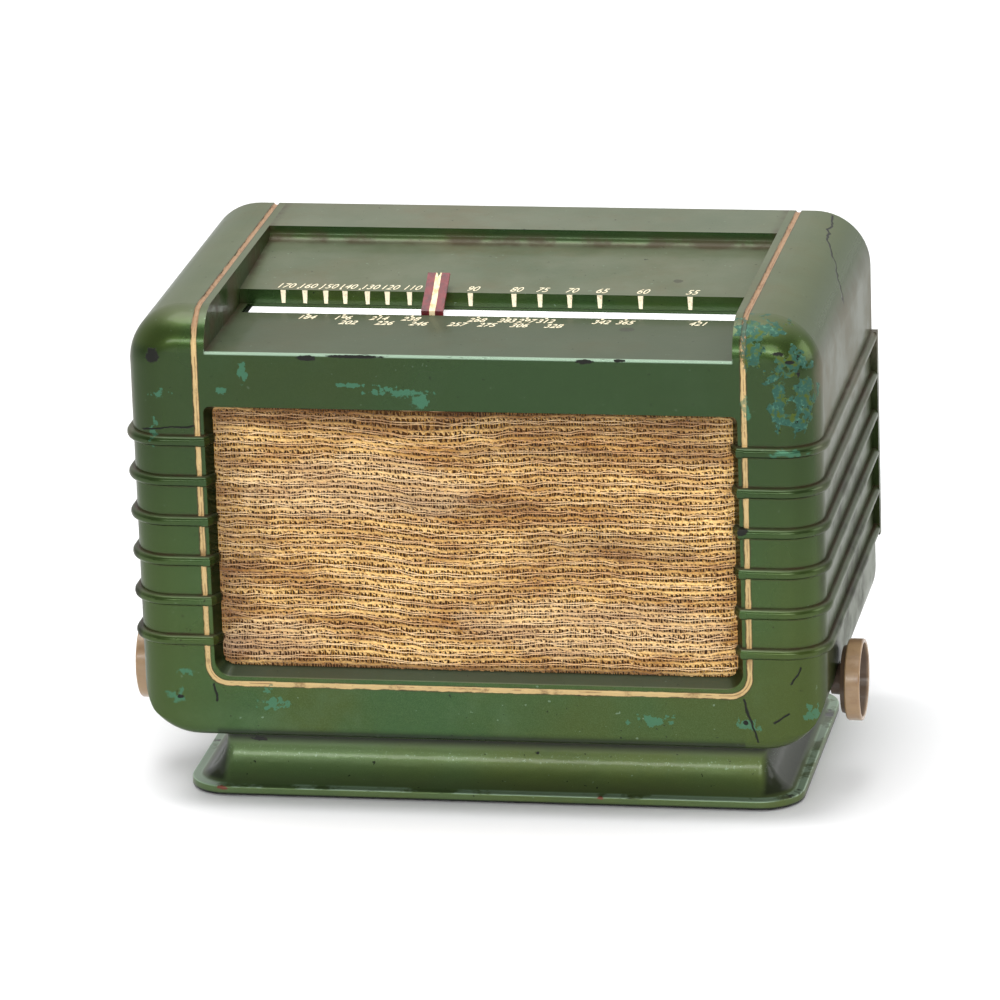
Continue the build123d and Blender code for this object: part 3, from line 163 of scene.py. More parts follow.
SOCKETS = {"f": "NodeSocketFloat", "v": "NodeSocketVector", "c": "NodeSocketColor"}


def new_group(name, inputs, outputs):
    """A node group with named sockets: each word of inputs and outputs is kind:Name, its kind f, v or c."""
    tree = bpy.data.node_groups.new(name, "ShaderNodeTree")
    for direction, words in (("INPUT", inputs), ("OUTPUT", outputs)):
        for word in words.split():
            kind, title = word.split(":")
            tree.interface.new_socket(title, in_out=direction, socket_type=SOCKETS[kind])
    bench = Bench(tree)
    return bench, tree.nodes.new("NodeGroupInput").outputs, tree.nodes.new("NodeGroupOutput").inputs


def new_material(name):
    """A material with a Principled BSDF, a bench on its tree, and that shader's inputs."""
    made = bpy.data.materials.new(name)
    made.use_nodes = True
    return made, Bench(made.node_tree), made.node_tree.nodes["Principled BSDF"].inputs


def dress(finish, *nodes):
    """Gives CAD nodes their finish."""
    for name in nodes:
        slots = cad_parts[name].data.materials
        slots.clear()
        slots.append(finish)


def bump(bench, height, depth, strength=1.0):
    """The normal of a surface whose height of 1 stands depth metres proud."""
    return bench.put("Bump", {"Height": height, "Distance": depth, "Strength": strength}).outputs[0]


# lacquer: cloudy green with olive patches, fine metal flake, pinprick specks, and dust where it faces up
bench, given, result = new_group(
    "sprayed_green", "v:Place c:Green c:Olive c:Dust f:Dusty", "c:Colour f:Roughness f:Height f:Dusted"
)
place = given["Place"]
cloud = bench.fade(bench.noise(place, 9.0, 3.0, 0.6), 0.42, 0.66)
flake = bench.noise(place, 2600.0, 1.0)
paint = bench.blend(bench.times(cloud, 0.75), given["Green"], given["Olive"])
paint = bench.blend(bench.fade(flake, 0.35, 0.75), paint, bench.blend(0.06, paint, shade((150, 180, 120))))
patch = bench.fade(bench.noise(place, 34.0, 5.0, 0.65), 0.5, 0.72)
paint = bench.blend(bench.times(patch, 0.3), paint, shade((74, 98, 66)))
streak = bench.fade(bench.noise(place, 60.0, 5.0, 0.7, (0.25, 1, 1)), 0.5, 0.75)
paint = bench.blend(bench.times(streak, 0.18), paint, shade((40, 56, 26)))
up = bench.axes(bench.put("NewGeometry").outputs["Normal"])[2]
settled = bench.between(bench.fade(bench.noise(place, 22.0, 6.0, 0.7), 0.25, 0.7), 0.65, 1.0)
dust = bench.times(bench.fade(up, 0.55, 0.98), settled)
dust = bench.times(dust, given["Dusty"])
drift = bench.times(bench.fade(bench.noise(place, 17.0, 6.0, 0.75), 0.45, 0.7), 0.55)
paint = bench.blend(dust, paint, bench.blend(drift, given["Dust"], shade((104, 86, 64))))
smear = bench.fade(bench.noise(place, 48.0, 6.0, 0.8, (0.4, 1, 1)), 0.56, 0.68)
paint = bench.blend(bench.times(smear, dust, 0.3), paint, shade((70, 84, 58)))
speck = bench.fade(bench.noise(place, 330.0, 2.0, 0.6), 0.72, 0.75)
paint = bench.blend(bench.times(speck, 0.85), paint, shade(SOOT))
grit = bench.fade(bench.noise(bench.vector("ADD", place, (3, 5, 7)), 420.0, 1.0), 0.76, 0.79)
paint = bench.blend(bench.times(grit, 0.25), paint, shade(PALE))
bench.feed(result["Colour"], paint)
bench.feed(result["Dusted"], dust)
bench.feed(result["Roughness"], bench.between(dust, bench.between(cloud, 0.26, 0.34), 0.5))
bench.feed(result["Height"], bench.plus(bench.noise(place, 420.0, 2.0), bench.times(speck, -1.5)))
sprayed_green = bench.tree

# a ragged patch round a point, for chips, stains and rubbed places
bench, given, result = new_group("ragged_spot", "v:Place v:Centre v:Size f:Ragged f:Grain", "f:Mask")
offset = bench.vector("DIVIDE", bench.vector("SUBTRACT", given["Place"], given["Centre"]), given["Size"])
raggedness = bench.minus(bench.noise(given["Place"], given["Grain"], 4.0, 0.6), 0.5)
rough_edge = bench.times(raggedness, given["Ragged"])
bench.feed(result["Mask"], bench.fade(bench.plus(bench.vector("LENGTH", offset), rough_edge), 1.05, 0.85))
ragged_spot = bench.tree

# a hairline crack between two points, wandering a little; Flat is 1 along the wall and small through it, so
# that the crack is found though its points lie a little above or below the curved surface
bench, given, result = new_group("hairline", "v:Place v:Start v:End v:Flat f:Width", "f:Mask")
wander = bench.put("TexNoise", {"Vector": given["Place"], "Scale": 90.0, "Detail": 3.0}).outputs["Color"]
wander = bench.vector("SCALE", bench.vector("SUBTRACT", wander, (0.5, 0.5, 0.5)))
wander.node.inputs["Scale"].default_value = 5 * MM
place = bench.vector("ADD", given["Place"], wander)
from_start = bench.vector("MULTIPLY", bench.vector("SUBTRACT", place, given["Start"]), given["Flat"])
run = bench.vector("MULTIPLY", bench.vector("SUBTRACT", given["End"], given["Start"]), given["Flat"])
along_run = bench.vector("DOT_PRODUCT", from_start, run)
share = bench.math("DIVIDE", along_run, bench.vector("DOT_PRODUCT", run, run))
share.node.use_clamp = True
nearest = bench.put("VectorMath", {0: run, "Scale": share}, operation="SCALE").outputs["Vector"]
away = bench.vector("LENGTH", bench.vector("SUBTRACT", from_start, nearest))
bench.feed(result["Mask"], bench.fade(bench.math("DIVIDE", away, given["Width"]), 1.0, 0.4))
hairline = bench.tree


def spots(bench, place, marks, ragged=1.2, grain=300.0):
    """The union of ragged spots; each mark is a centre and its half sizes in millimetres."""
    masks = []
    for centre, size in marks:
        values = {"Place": place, "Centre": [c * MM for c in centre], "Size": [s * MM for s in size]}
        masks.append(bench.group(ragged_spot, **values, Ragged=ragged, Grain=grain)["Mask"])
    return bench.highest(*masks)


TEAL_RUBS = [
    ((-104, -96, 213), (1.6, 4, 4.5)),
    ((-115, -96, 204), (2.4, 4, 1.6)),
    ((-143, -95, 202), (4.0, 4, 1.6)),
    ((-147, -92, 184), (2.0, 6, 5.5)),
    ((-30, -96, 205), (12.0, 4, 1.6)),
    ((-22, -96, 201), (3.0, 4, 3.0)),
    ((-52, -96, 208), (7.0, 4, 1.0)),
    ((-96, -96, 54), (5.0, 4, 3.0)),
    ((-98, -96, 60), (2.0, 4, 2.6)),
    ((-142, -95, 57), (4.0, 6, 2.6)),
    ((-137, -95, 68), (3.0, 6, 1.4)),
    ((125, -96, 50), (5.0, 4, 2.2)),
    ((82, -96, 50), (8.0, 4, 2.4)),
    ((127, -96, 202), (1.6, 4, 4.5)),
    ((154, -88, 54), (3.0, 8, 3.0)),
    ((146, -98, 180), (9.0, 3, 1.6)),
]
SHOULDER_RUBS = [
    ((134, -88, 236), (12.0, 9, 3.5)),
    ((131, -93, 228), (5.0, 6, 6.0)),
    ((148, -91, 221), (6.0, 8, 5.0)),
    ((152, -90, 206), (5.0, 8, 9.0)),
    ((143, -96, 203), (3.5, 6, 11.0)),
    ((150, -92, 194), (5.0, 8, 4.0)),
    ((138, -94, 215), (3.0, 8, 3.0)),
]
BLACK_CHIPS = [
    ((-146, -92, 220), (3.4, 9, 3.8)),
    ((-74, -96, 220.5), (4.5, 1.6, 1.4)),
    ((-52, -96, 221.6), (14.0, 1.2, 0.8)),
    ((54, -96, 221.2), (4.0, 1.6, 1.2)),
    ((70, -96, 222), (3.0, 1.0, 0.7)),
    ((142, -91, 226), (4.0, 5, 1.2)),
    ((147, -92, 222), (3.0, 5, 1.0)),
    ((151, -90, 217), (1.6, 5, 2.4)),
    ((124, -96, 50.5), (1.2, 3, 1.2)),
    ((-140, -95, 56), (1.6, 4, 1.0)),
    ((124.6, -99, 143), (2.4, 4, 2.2)),
]
CRACKS = [
    ((143, 92, 240.5), (145, 53, 240.5)),
    ((145, 53, 240.5), (152, 28, 238)),
    ((152, 28, 238), (159, 4, 228)),
    ((123, -96, 62), (129, -96, 42)),
    ((137, -95, 50), (144, -94, 55)),
    ((145, -94, 69), (150, -92, 77)),
    ((-123.5, -96, 62), (-122.5, -96, 54)),
    ((-128, -96, 187), (-152, -90, 184)),
]

green_lacquer, bench, shader = new_material("green_lacquer")
place = bench.place()
x, y, z = bench.axes(place)
side = bench.math("ABSOLUTE", x)
coat = bench.group(
    sprayed_green, Place=place, Green=shade(GREEN), Olive=shade(OLIVE), Dust=shade(DUST), Dusty=0.75
)
aged = bench.times(bench.fade(side, 100 * MM, 156 * MM), 0.6)
colour = bench.blend(aged, coat["Colour"], shade(OLIVE))
lid = bench.times(bench.fade(z, 90 * MM, 195 * MM), bench.fade(z, 226 * MM, 221 * MM))
colour = bench.blend(bench.times(lid, 0.7), colour, shade((27, 47, 14)))
# on the sides, in patches: a painted reflection that is light grey high up, and painted shade that is
# near-black low down, with some grime
flank_sheen_and_grime = bench.fade(bench.noise(place, 26.0, 6.0, 0.7), 0.42, 0.66)
flank = bench.times(bench.fade(side, 156 * MM, 160 * MM), bench.between(flank_sheen_and_grime, 0.35, 0.9))
low_flank = bench.fade(z, 190 * MM, 130 * MM)
colour = bench.blend(flank, colour, bench.blend(low_flank, shade((104, 98, 84)), shade((30, 28, 20))))
# painted shade inside the grille opening's reveal
reveal_shade = bench.times(bench.fade(side, 123.7 * MM, 123.1 * MM), bench.fade(y, -96.1 * MM, -95.2 * MM))
reveal_shade = bench.times(reveal_shade, bench.fade(y, -88 * MM, -90 * MM))
reveal_shade = bench.times(reveal_shade, bench.fade(z, 198 * MM, 197 * MM))
colour = bench.blend(bench.times(reveal_shade, 0.7), colour, shade((20, 28, 14)))
# how far a point lies from the middle of the trim groove, which turns a round corner under the grille
out_x = bench.minus(side, TRIM_HALF_X * MM)
down_z = bench.minus(TRIM_TURN_Z * MM, z)
corner = bench.put("CombineXYZ", [bench.math("MAXIMUM", out_x, 0.0), bench.math("MAXIMUM", down_z, 0.0), 0.0])
straight = bench.math("MINIMUM", bench.math("MAXIMUM", out_x, down_z), 0.0)
trim_away = bench.plus(bench.vector("LENGTH", corner.outputs[0]), straight)
trim_away = bench.math("ABSOLUTE", bench.minus(trim_away, TRIM_TURN * MM))
on_skin = bench.fade(y, -97.0 * MM, -96.3 * MM)
drip = bench.times(bench.minus(bench.noise(place, 160.0, 4.0, 0.6), 0.5), 1.1 * MM)
trim_edge = bench.plus(trim_away, drip)
grime = bench.fade(bench.noise(place, 60.0, 5.0, 0.65), 0.4, 0.62)
trim_mask = bench.times(bench.fade(trim_edge, 1.32 * MM, 1.02 * MM), on_skin)
# a brown band along both edges of the cream line, stronger where the grime noise is high
trim_border = bench.times(bench.fade(trim_edge, 2.1 * MM, 1.15 * MM), on_skin)
trim_border = bench.times(trim_border, bench.plus(bench.times(grime, 0.6), 0.25))
on_top = bench.fade(z, 224 * MM, 236 * MM)
cream = bench.blend(bench.times(on_top, 0.85), shade(CREAM), shade(CREAM_TOP))
soil = bench.fade(bench.noise(place, 130.0, 4.0, 0.7), 0.52, 0.7)
middle = bench.times(bench.fade(trim_edge, 0.34 * MM, 0.12 * MM), bench.fade(grime, 0.2, 0.7))
cream = bench.blend(bench.times(bench.highest(soil, middle), 0.6), cream, shade((104, 66, 34)))
# rib roots and recess corners hold brown dirt; the distance to the nearest rib repeats down the side
row = bench.math("PINGPONG", bench.minus(RIB_TOP * MM, z), RIB_PITCH / 2 * MM)
near_rib = bench.times(bench.fade(row, 3.6 * MM, 2.6 * MM), bench.fade(row, 2.2 * MM, 2.5 * MM))
near_rib = bench.times(near_rib, bench.fade(z, 80 * MM, 82 * MM))
near_rib = bench.times(near_rib, bench.fade(z, 186 * MM, 183 * MM))
near_rib = bench.times(near_rib, bench.fade(side, 121 * MM, 123 * MM))
recess_back = bench.times(bench.fade(y, 46 * MM, 53 * MM), bench.fade(z, 241 * MM, 235 * MM))
recess_back = bench.times(recess_back, bench.fade(side, 122 * MM, 121 * MM))
recess_back = bench.times(recess_back, bench.fade(z, 230 * MM, 232 * MM))
recess_side = bench.times(bench.fade(side, 117 * MM, 121.4 * MM), bench.fade(side, 121.7 * MM, 121.5 * MM))
recess_side = bench.times(recess_side, bench.fade(z, 221 * MM, 222 * MM))
dirt = bench.highest(near_rib, recess_back, recess_side)
dirt = bench.times(dirt, bench.between(grime, 0.25, 0.8))
colour = bench.blend(bench.highest(dirt, trim_border), colour, shade(BROWN_DIRT))
colour = bench.blend(trim_mask, colour, cream)
# rubbed places: the fascia's sharp upper edge, which also carries a painted highlight, and the hand-worn
# shoulders
edge_line = bench.put("CombineXYZ", [0.0, bench.minus(y, FACE_Y * MM), bench.minus(z, FASCIA_TOP * MM)])
edge_away = bench.vector("LENGTH", edge_line.outputs[0])
# a pale line along the fascia's sharp edge: partly rubbed paint and partly a painted highlight, broken by
# bare black places
edge_glint_and_rub = bench.times(bench.fade(edge_away, 1.5 * MM, 0.7 * MM), bench.fade(side, 122 * MM, 121 * MM))
colour = bench.blend(bench.times(edge_glint_and_rub, 0.8), colour, shade(PALE))
edge_bare = bench.times(edge_glint_and_rub, bench.fade(bench.noise(place, 120.0, 4.0, 0.7, (0.25, 1, 1)), 0.62, 0.67))
teal = spots(bench, place, TEAL_RUBS, 5.5, 330.0)
rubbed = spots(bench, place, SHOULDER_RUBS, 5.5, 170.0)
mottle = bench.noise(place, 520.0, 5.0, 0.75)
worn = bench.blend(bench.fade(mottle, 0.5, 0.66), shade((44, 84, 74)), shade((88, 138, 120)))
worn = bench.blend(bench.fade(bench.noise(place, 260.0, 5.0, 0.7), 0.5, 0.6), worn, shade((74, 88, 30)))
worn = bench.blend(bench.fade(bench.noise(place, 300.0, 3.0, 0.7), 0.62, 0.67), worn, shade(SOOT))
smudge = spots(bench, place, [((66, -48, 222.5), (3.6, 3.4, 1)), ((82, 5, 231), (2.4, 2.4, 1.5))], 0.8, 300.0)
colour = bench.blend(bench.times(smudge, 0.6), colour, shade((48, 44, 36)))
colour = bench.blend(bench.times(teal, 0.6), colour, shade(TEAL))
colour = bench.blend(bench.times(rubbed, 0.85), colour, worn)
chips = bench.highest(spots(bench, place, BLACK_CHIPS, 1.3, 500.0), edge_bare)
cracks = []
for start, end in CRACKS:
    flat = (1, 1, 0.06) if start[2] > FASCIA_TOP else (1, 0.06, 1)
    values = {"Place": place, "Start": [c * MM for c in start], "End": [c * MM for c in end], "Flat": flat}
    values["Width"] = 0.62 * MM
    cracks.append(bench.group(hairline, **values)["Mask"])
cracks = bench.highest(*cracks)
black_marks = bench.highest(chips, cracks)
colour = bench.blend(black_marks, colour, shade(SOOT))
flat_paint = bench.highest(trim_mask, dirt, black_marks, bench.times(rubbed, 0.4))
bench.feed(shader["Base Color"], colour)
matt = bench.highest(flat_paint, rubbed, coat["Dusted"], bench.times(flank, 0.8))
bench.feed(shader["Metallic"], bench.between(bench.highest(flat_paint, coat["Dusted"]), 0.75, 0.0))
bench.feed(shader["Roughness"], bench.between(matt, coat["Roughness"], 0.55))
bench.feed(shader["Coat Weight"], bench.between(matt, 0.3, 0.0))
shader["Coat Roughness"].default_value = 0.12
shader["Specular Tint"].default_value = (0.5, 0.52, 0.46, 1)
depth = bench.minus(bench.times(coat["Height"], 0.12), bench.times(black_marks, 1.6))
depth = bench.plus(depth, bench.times(rubbed, mottle, 0.5))
bench.feed(shader["Normal"], bump(bench, depth, 0.25 * MM))
dress(green_lacquer, "cabinet")

# The plinth is a second moulding under the cabinet, a ledge with a hollow cove above it, sprayed with the
# same lacquer. Its ledge has lost paint along the top edge, and four screws hold it to the cabinet's floor.
plinth_lacquer, bench, shader = new_material("plinth_lacquer")
place = bench.place()
x, y, z = bench.axes(place)
cove_green, cove_olive, cove_dust = shade((86, 108, 66)), shade((86, 98, 46)), shade((92, 104, 76))
coat = bench.group(sprayed_green, Place=place, Green=cove_green, Olive=cove_olive, Dust=cove_dust, Dusty=0.3)
colour = coat["Colour"]
# painted shade: near-black on the cove just under the cabinet and on the cove's sides at both ends
under_lip_shade = bench.times(bench.fade(z, 20 * MM, 25 * MM), 0.95)
flank = bench.fade(bench.math("ABSOLUTE", x), 125 * MM, 129 * MM)
flank = bench.times(flank, bench.fade(z, 4.6 * MM, 6.5 * MM))
plinth_shade = bench.highest(under_lip_shade, bench.times(flank, 0.9))
colour = bench.blend(plinth_shade, colour, shade((16, 20, 9)))
# along the ledge's top edge: a pale line, partly rubbed paint and partly a painted highlight, broken by black
# places where the paint is worn through
ledge_edge_band = bench.times(bench.fade(z, 4.3 * MM, 4.7 * MM), bench.fade(z, 5.4 * MM, 5.0 * MM))
wear = bench.noise(place, 90.0, 5.0, 0.7, (0.3, 0.3, 1))
ledge_glint_and_rub = bench.times(ledge_edge_band, bench.fade(wear, 0.42, 0.5))
black_rub = bench.times(ledge_edge_band, bench.fade(wear, 0.5, 0.43))
black_rub = bench.times(black_rub, bench.fade(bench.noise(place, 200.0, 3.0, 0.6, (0.2, 0.2, 1)), 0.52, 0.6))
speckle = bench.fade(bench.noise(place, 900.0, 3.0, 0.7), 0.6, 0.68)
# painted highlight: a band of pale speckle across the cove
cove_highlight = bench.times(bench.fade(z, 13 * MM, 16 * MM), bench.fade(z, 21 * MM, 18 * MM))
colour = bench.blend(bench.times(ledge_glint_and_rub, 0.7), colour, shade(PALE))
colour = bench.blend(bench.times(cove_highlight, speckle, 0.35), colour, shade(PALE))
scuffs = spots(bench, place, [((-127, -75, 4), (3.0, 4, 1.0)), ((52, -76, 4.5), (1.4, 3, 0.8))], 1.8, 500.0)
colour = bench.blend(scuffs, colour, shade((120, 66, 52)))
nicks = [((-112, -62, 23), (4.0, 6, 1.0)), ((-114, -66, 13), (1.2, 5, 0.9)), ((20, -62, 20), (1.6, 5, 0.8))]
nicks = spots(bench, place, nicks, 2.2, 600.0)
# black marks: worn-through paint and nicks, and painted shade along the lowest 2 mm of the ledge where it
# meets the floor
black_marks = bench.highest(black_rub, nicks, bench.fade(z, 2.2 * MM, 1.4 * MM))
colour = bench.blend(black_marks, colour, shade(SOOT))
bench.feed(shader["Base Color"], colour)
bench.feed(shader["Metallic"], bench.between(bench.highest(black_marks, plinth_shade), 0.45, 0.0))
bench.feed(shader["Roughness"], bench.between(plinth_shade, bench.plus(coat["Roughness"], 0.06), 0.8))
shader["Coat Weight"].default_value = 0.35
shader["Coat Roughness"].default_value = 0.12
shader["Specular Tint"].default_value = (0.5, 0.52, 0.46, 1)
bench.feed(shader["Normal"], bump(bench, bench.minus(bench.times(coat["Height"], 0.12), black_marks), 0.2 * MM))
dress(plinth_lacquer, "plinth")

# Small metal parts are plated or turned and have gone dull; the tarnish group gives them cloudy stains,
# a few rust or verdigris spots and fine scratches. The plinth's feet are black rubber.
bench, given, result = new_group(
    "tarnish", "v:Place c:Clean c:Dull f:Scale f:Spotted f:Gloss", "c:Colour f:Roughness f:Height"
)
place = given["Place"]
darkened = bench.fade(bench.noise(place, given["Scale"], 6.0, 0.65), 0.38, 0.68)
scratch = bench.noise(place, 900.0, 2.0, 0.6, (0.06, 1, 1))
spot = bench.noise(place, bench.times(given["Scale"], 7.0), 4.0, 0.7)
spot = bench.times(bench.fade(spot, 0.62, 0.72), given["Spotted"])
metal = bench.blend(darkened, given["Clean"], given["Dull"])
metal = bench.blend(spot, metal, bench.blend(0.65, given["Dull"], shade((96, 58, 30))))
metal = bench.blend(bench.times(bench.fade(scratch, 0.55, 0.8), 0.2), metal, given["Clean"])
bench.feed(result["Colour"], metal)
rough = bench.between(darkened, given["Gloss"], bench.plus(given["Gloss"], 0.18))
bench.feed(result["Roughness"], bench.plus(rough, bench.times(spot, 0.3)))
bench.feed(result["Height"], bench.plus(scratch, spot))
tarnish = bench.tree


def metal_finish(name, clean, dull, gloss, scale=60.0, spotted=0.5, metallic=1.0):
    """A metal part's material: the tarnish group between its clean and its dull colour."""
    made, bench, shader = new_material(name)
    values = {"Place": bench.place(), "Clean": shade(clean), "Dull": shade(dull)}
    worn = bench.group(tarnish, **values, Scale=scale, Spotted=spotted, Gloss=gloss)
    bench.feed(shader["Base Color"], worn["Colour"])
    bench.feed(shader["Roughness"], worn["Roughness"])
    shader["Metallic"].default_value = metallic
    bench.feed(shader["Normal"], bump(bench, worn["Height"], 0.03 * MM, 0.6))
    return made


screw_steel = metal_finish("screw_steel", (176, 172, 160), (110, 100, 86), 0.3, 240.0)
dress(screw_steel, "plinth_screws", "chassis_screws", "board_screws", "speaker_screws", "cover_screws")
dress(screw_steel, "control_nuts")

# moulded, pressed and fibrous parts share one group: a base colour with cloudy change and a fine grain
bench, given, result = new_group(
    "dull_body", "v:Place c:Base c:Cloud f:Scale f:Grain f:Gloss", "c:Colour f:Roughness f:Height"
)
place = given["Place"]
cloud = bench.fade(bench.noise(place, given["Scale"], 5.0, 0.6), 0.35, 0.7)
grain = bench.noise(place, given["Grain"], 3.0, 0.6)
body = bench.blend(cloud, given["Base"], given["Cloud"])
bench.feed(result["Colour"], bench.blend(bench.times(bench.fade(grain, 0.3, 0.8), 0.4), body, given["Cloud"]))
bench.feed(result["Roughness"], bench.plus(given["Gloss"], bench.times(cloud, 0.15)))
bench.feed(result["Height"], grain)
dull_body = bench.tree


def body_finish(name, base, cloud, gloss, scale=40.0, grain=900.0, relief=0.05):
    """A moulded, rubber, paper or painted part's material: the dull_body group with the part's own values."""
    made, bench, shader = new_material(name)
    values = {"Place": bench.place(), "Base": shade(base), "Cloud": shade(cloud)}
    part = bench.group(dull_body, **values, Scale=scale, Grain=grain, Gloss=gloss)
    bench.feed(shader["Base Color"], part["Colour"])
    bench.feed(shader["Roughness"], part["Roughness"])
    bench.feed(shader["Normal"], bump(bench, part["Height"], relief * MM, 0.6))
    return made


dress(body_finish("foot_rubber", (30, 29, 28), (58, 54, 50), 0.7, 120.0), "plinth_feet", "inlet_grommet")

# The dial is a slot across the top: an opal strip in it is lit from below by two lamps, its glow painted as
# the strip's own emission. Cream numbers are painted on the floor behind it, tapered bars on the riser, and
# small wavelengths on the shelf in front.
opal_strip, bench, shader = new_material("opal_strip")
mark = bench.fade(bench.noise(bench.place(), 70.0, 4.0), 0.3, 0.7)
painted_glow = bench.blend(mark, shade((250, 250, 252)), shade((242, 240, 240)))
ends = bench.fade(bench.axes(bench.place())[0], -115.4 * MM, -115.8 * MM)
painted_glow = bench.blend(ends, painted_glow, shade((8, 8, 8)))
bench.feed(shader["Base Color"], painted_glow)
# the strip's emission is a painted glow
bench.feed(shader["Emission Color"], painted_glow)
shader["Emission Strength"].default_value = 0.55
shader["Roughness"].default_value = 0.35
dress(opal_strip, "dial_diffuser")

dial_paint, bench, shader = new_material("dial_paint")
place = bench.place()
worn = bench.fade(bench.noise(place, 500.0, 4.0, 0.7), 0.52, 0.75)
bench.feed(shader["Base Color"], bench.blend(worn, shade((240, 228, 196)), shade((170, 144, 104))))
shader["Roughness"].default_value = 0.5
bench.feed(shader["Normal"], bump(bench, bench.noise(place, 900.0, 2.0), 0.05 * MM))

SHELF_Z, RISER_Y, FLOOR_FRONT_Z, FLOOR_REAR_Z, RECESS_REAR_Y = FASCIA_TOP, -15.8, 229.5, 234.0, 55.0
NUMBERS_Y, WAVELENGTHS_Y, ROW_STEP = -13.2, -39.5, 7.6
FLOOR_TILT = math.atan2(FLOOR_REAR_Z - FLOOR_FRONT_Z, RECESS_REAR_Y - RISER_Y)
PAINT_THICK = 0.06
SCALE_MARKS = [
    (170, -100.8), (160, -90.5), (150, -80.6), (140, -71.5), (130, -60.9), (120, -51.5), (110, -41.0),
    (90, -12.3), (80, 8.2), (75, 20.4), (70, 34.3), (65, 48.4), (60, 67.5), (55, 90.6),
]
WAVELENGTHS = [
    (-86, 0, 184), (-69, 0, 196), (-65, 1, 202), (-52, 0, 214), (-48, 1, 226), (-37, 0, 238), (-32, 1, 246),
    (-14, 1, 257), (-6, 0, 268), (0, 1, 275), (8, 0, 283), (17, 0, 297), (15, 1, 306), (26, 0, 312),
    (31, 1, 328), (52, 0, 342), (63, 0, 365), (97, 0, 421),
]


def new_piece(name, points, faces, finish, smooth=False):
    """A mesh object at the origin with its place in its mesh, dressed in one finish."""
    mesh = bpy.data.meshes.new(name)
    mesh.from_pydata(np.asarray(points, float).tolist(), [], [list(map(int, f)) for f in faces])
    mesh.materials.append(finish)
    if smooth:
        mesh.shade_smooth()
    mesh.update()
    piece = bpy.data.objects.new(name, mesh)
    bpy.context.scene.collection.objects.link(piece)
    return piece


def painted_words(name, words, swell):
    """Numbers as one thin painted mesh, their strokes thickened by swell; each word is (text, x, y, z, tilt,
    height), in millimetres and radians."""
    parts = []
    for text, px, py, pz, tilt, height in words:
        curve = bpy.data.curves.new(name, "FONT")
        curve.body = text
        curve.align_x = "CENTER"
        curve.size = height / 0.72 * MM
        curve.shear = 0.35
        curve.offset = swell * MM
        curve.extrude = PAINT_THICK / 2 * MM
        letters = bpy.data.objects.new(name, curve)
        bpy.context.scene.collection.objects.link(letters)
        squeeze = Matrix.Diagonal((0.66, 1, 1, 1))
        turn = Matrix.Rotation(tilt, 4, "X")
        mesh = bpy.data.meshes.new_from_object(letters)
        mesh.transform(Matrix.Translation((px * MM, py * MM, pz * MM)) @ turn @ squeeze)
        parts.append(mesh)
        bpy.data.objects.remove(letters)
        bpy.data.curves.remove(curve)
    points, faces, count = [], [], 0
    for mesh in parts:
        points.extend(tuple(v.co) for v in mesh.vertices)
        faces.extend(tuple(i + count for i in p.vertices) for p in mesh.polygons)
        count += len(mesh.vertices)
        bpy.data.meshes.remove(mesh)
    return new_piece(name, points, faces, dial_paint)


def floor_z(y):
    """The height of the dial's sloping floor at y: it rises evenly from the riser to the recess's rear."""
    return FLOOR_FRONT_Z + (y - RISER_Y) * math.tan(FLOOR_TILT)


words = [(str(text), px, NUMBERS_Y, floor_z(NUMBERS_Y) + 0.04, FLOOR_TILT, 6.2) for text, px in SCALE_MARKS]
dots = [(".", px + 6.5, -14.2, floor_z(-14.2) + 0.04, FLOOR_TILT, 9.0) for _, px in SCALE_MARKS[:4]]
dial_numbers = painted_words("dial_numbers", words + dots, -0.02)
small = [
    (str(text), px, WAVELENGTHS_Y - ROW_STEP * row, SHELF_Z + 0.04, 0.0, 6.0) for px, row, text in WAVELENGTHS
]
small += [(".", px, -33.0, SHELF_Z + 0.04, 0.0, 11.0) for px, row, _ in WAVELENGTHS if row == 0]
dial_wavelengths = painted_words("dial_wavelengths", small, 0.07)

TICK_TOP, TICK_FOOT = 1.25, 0.85
tick_points, tick_faces = [], []
for _, px in SCALE_MARKS:
    first = len(tick_points)
    for ty in (RISER_Y - PAINT_THICK, RISER_Y + 0.02):
        tick_points += [(px - TICK_FOOT, ty, SHELF_Z + 0.6), (px + TICK_FOOT, ty, SHELF_Z + 0.6)]
        tick_points += [(px + TICK_TOP, ty, FLOOR_FRONT_Z - 0.15), (px - TICK_TOP, ty, FLOOR_FRONT_Z - 0.15)]
    for face in ((0, 1, 2, 3), (7, 6, 5, 4), (0, 4, 5, 1), (1, 5, 6, 2), (2, 6, 7, 3), (3, 7, 4, 0)):
        tick_faces.append([first + n for n in face])
dial_bars = new_piece("dial_bars", np.array(tick_points) * MM, tick_faces, dial_paint)
for piece in (dial_numbers, dial_wavelengths, dial_bars):
    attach(piece, "set")

# The pointer is a crimson-painted brass blade with a cream line; its carriage slides on a steel rail under
# the shelf and is clamped to the dial cord.
pointer_paint, bench, shader = new_material("pointer_paint")
place = bench.place()
x = bench.axes(place)[0]
pointer_x = (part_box("pointer")[0].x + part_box("pointer")[1].x) / 2
wobble = bench.times(bench.minus(bench.noise(place, 250.0, 3.0), 0.5), 0.7 * MM)
off_line = bench.plus(bench.math("ABSOLUTE", bench.minus(x, pointer_x)), wobble)
stripe = bench.fade(off_line, 1.45 * MM, 1.2 * MM)
thin_paint = bench.fade(bench.noise(place, 300.0, 4.0), 0.4, 0.7)
crimson = bench.blend(thin_paint, shade((112, 8, 20)), shade((78, 4, 12)))
soiled = bench.fade(bench.noise(place, 400.0, 4.0), 0.4, 0.7)
ivory = bench.blend(soiled, shade((240, 220, 176)), shade((214, 172, 118)))
bench.feed(shader["Base Color"], bench.blend(stripe, crimson, ivory))
shader["Roughness"].default_value = 0.38
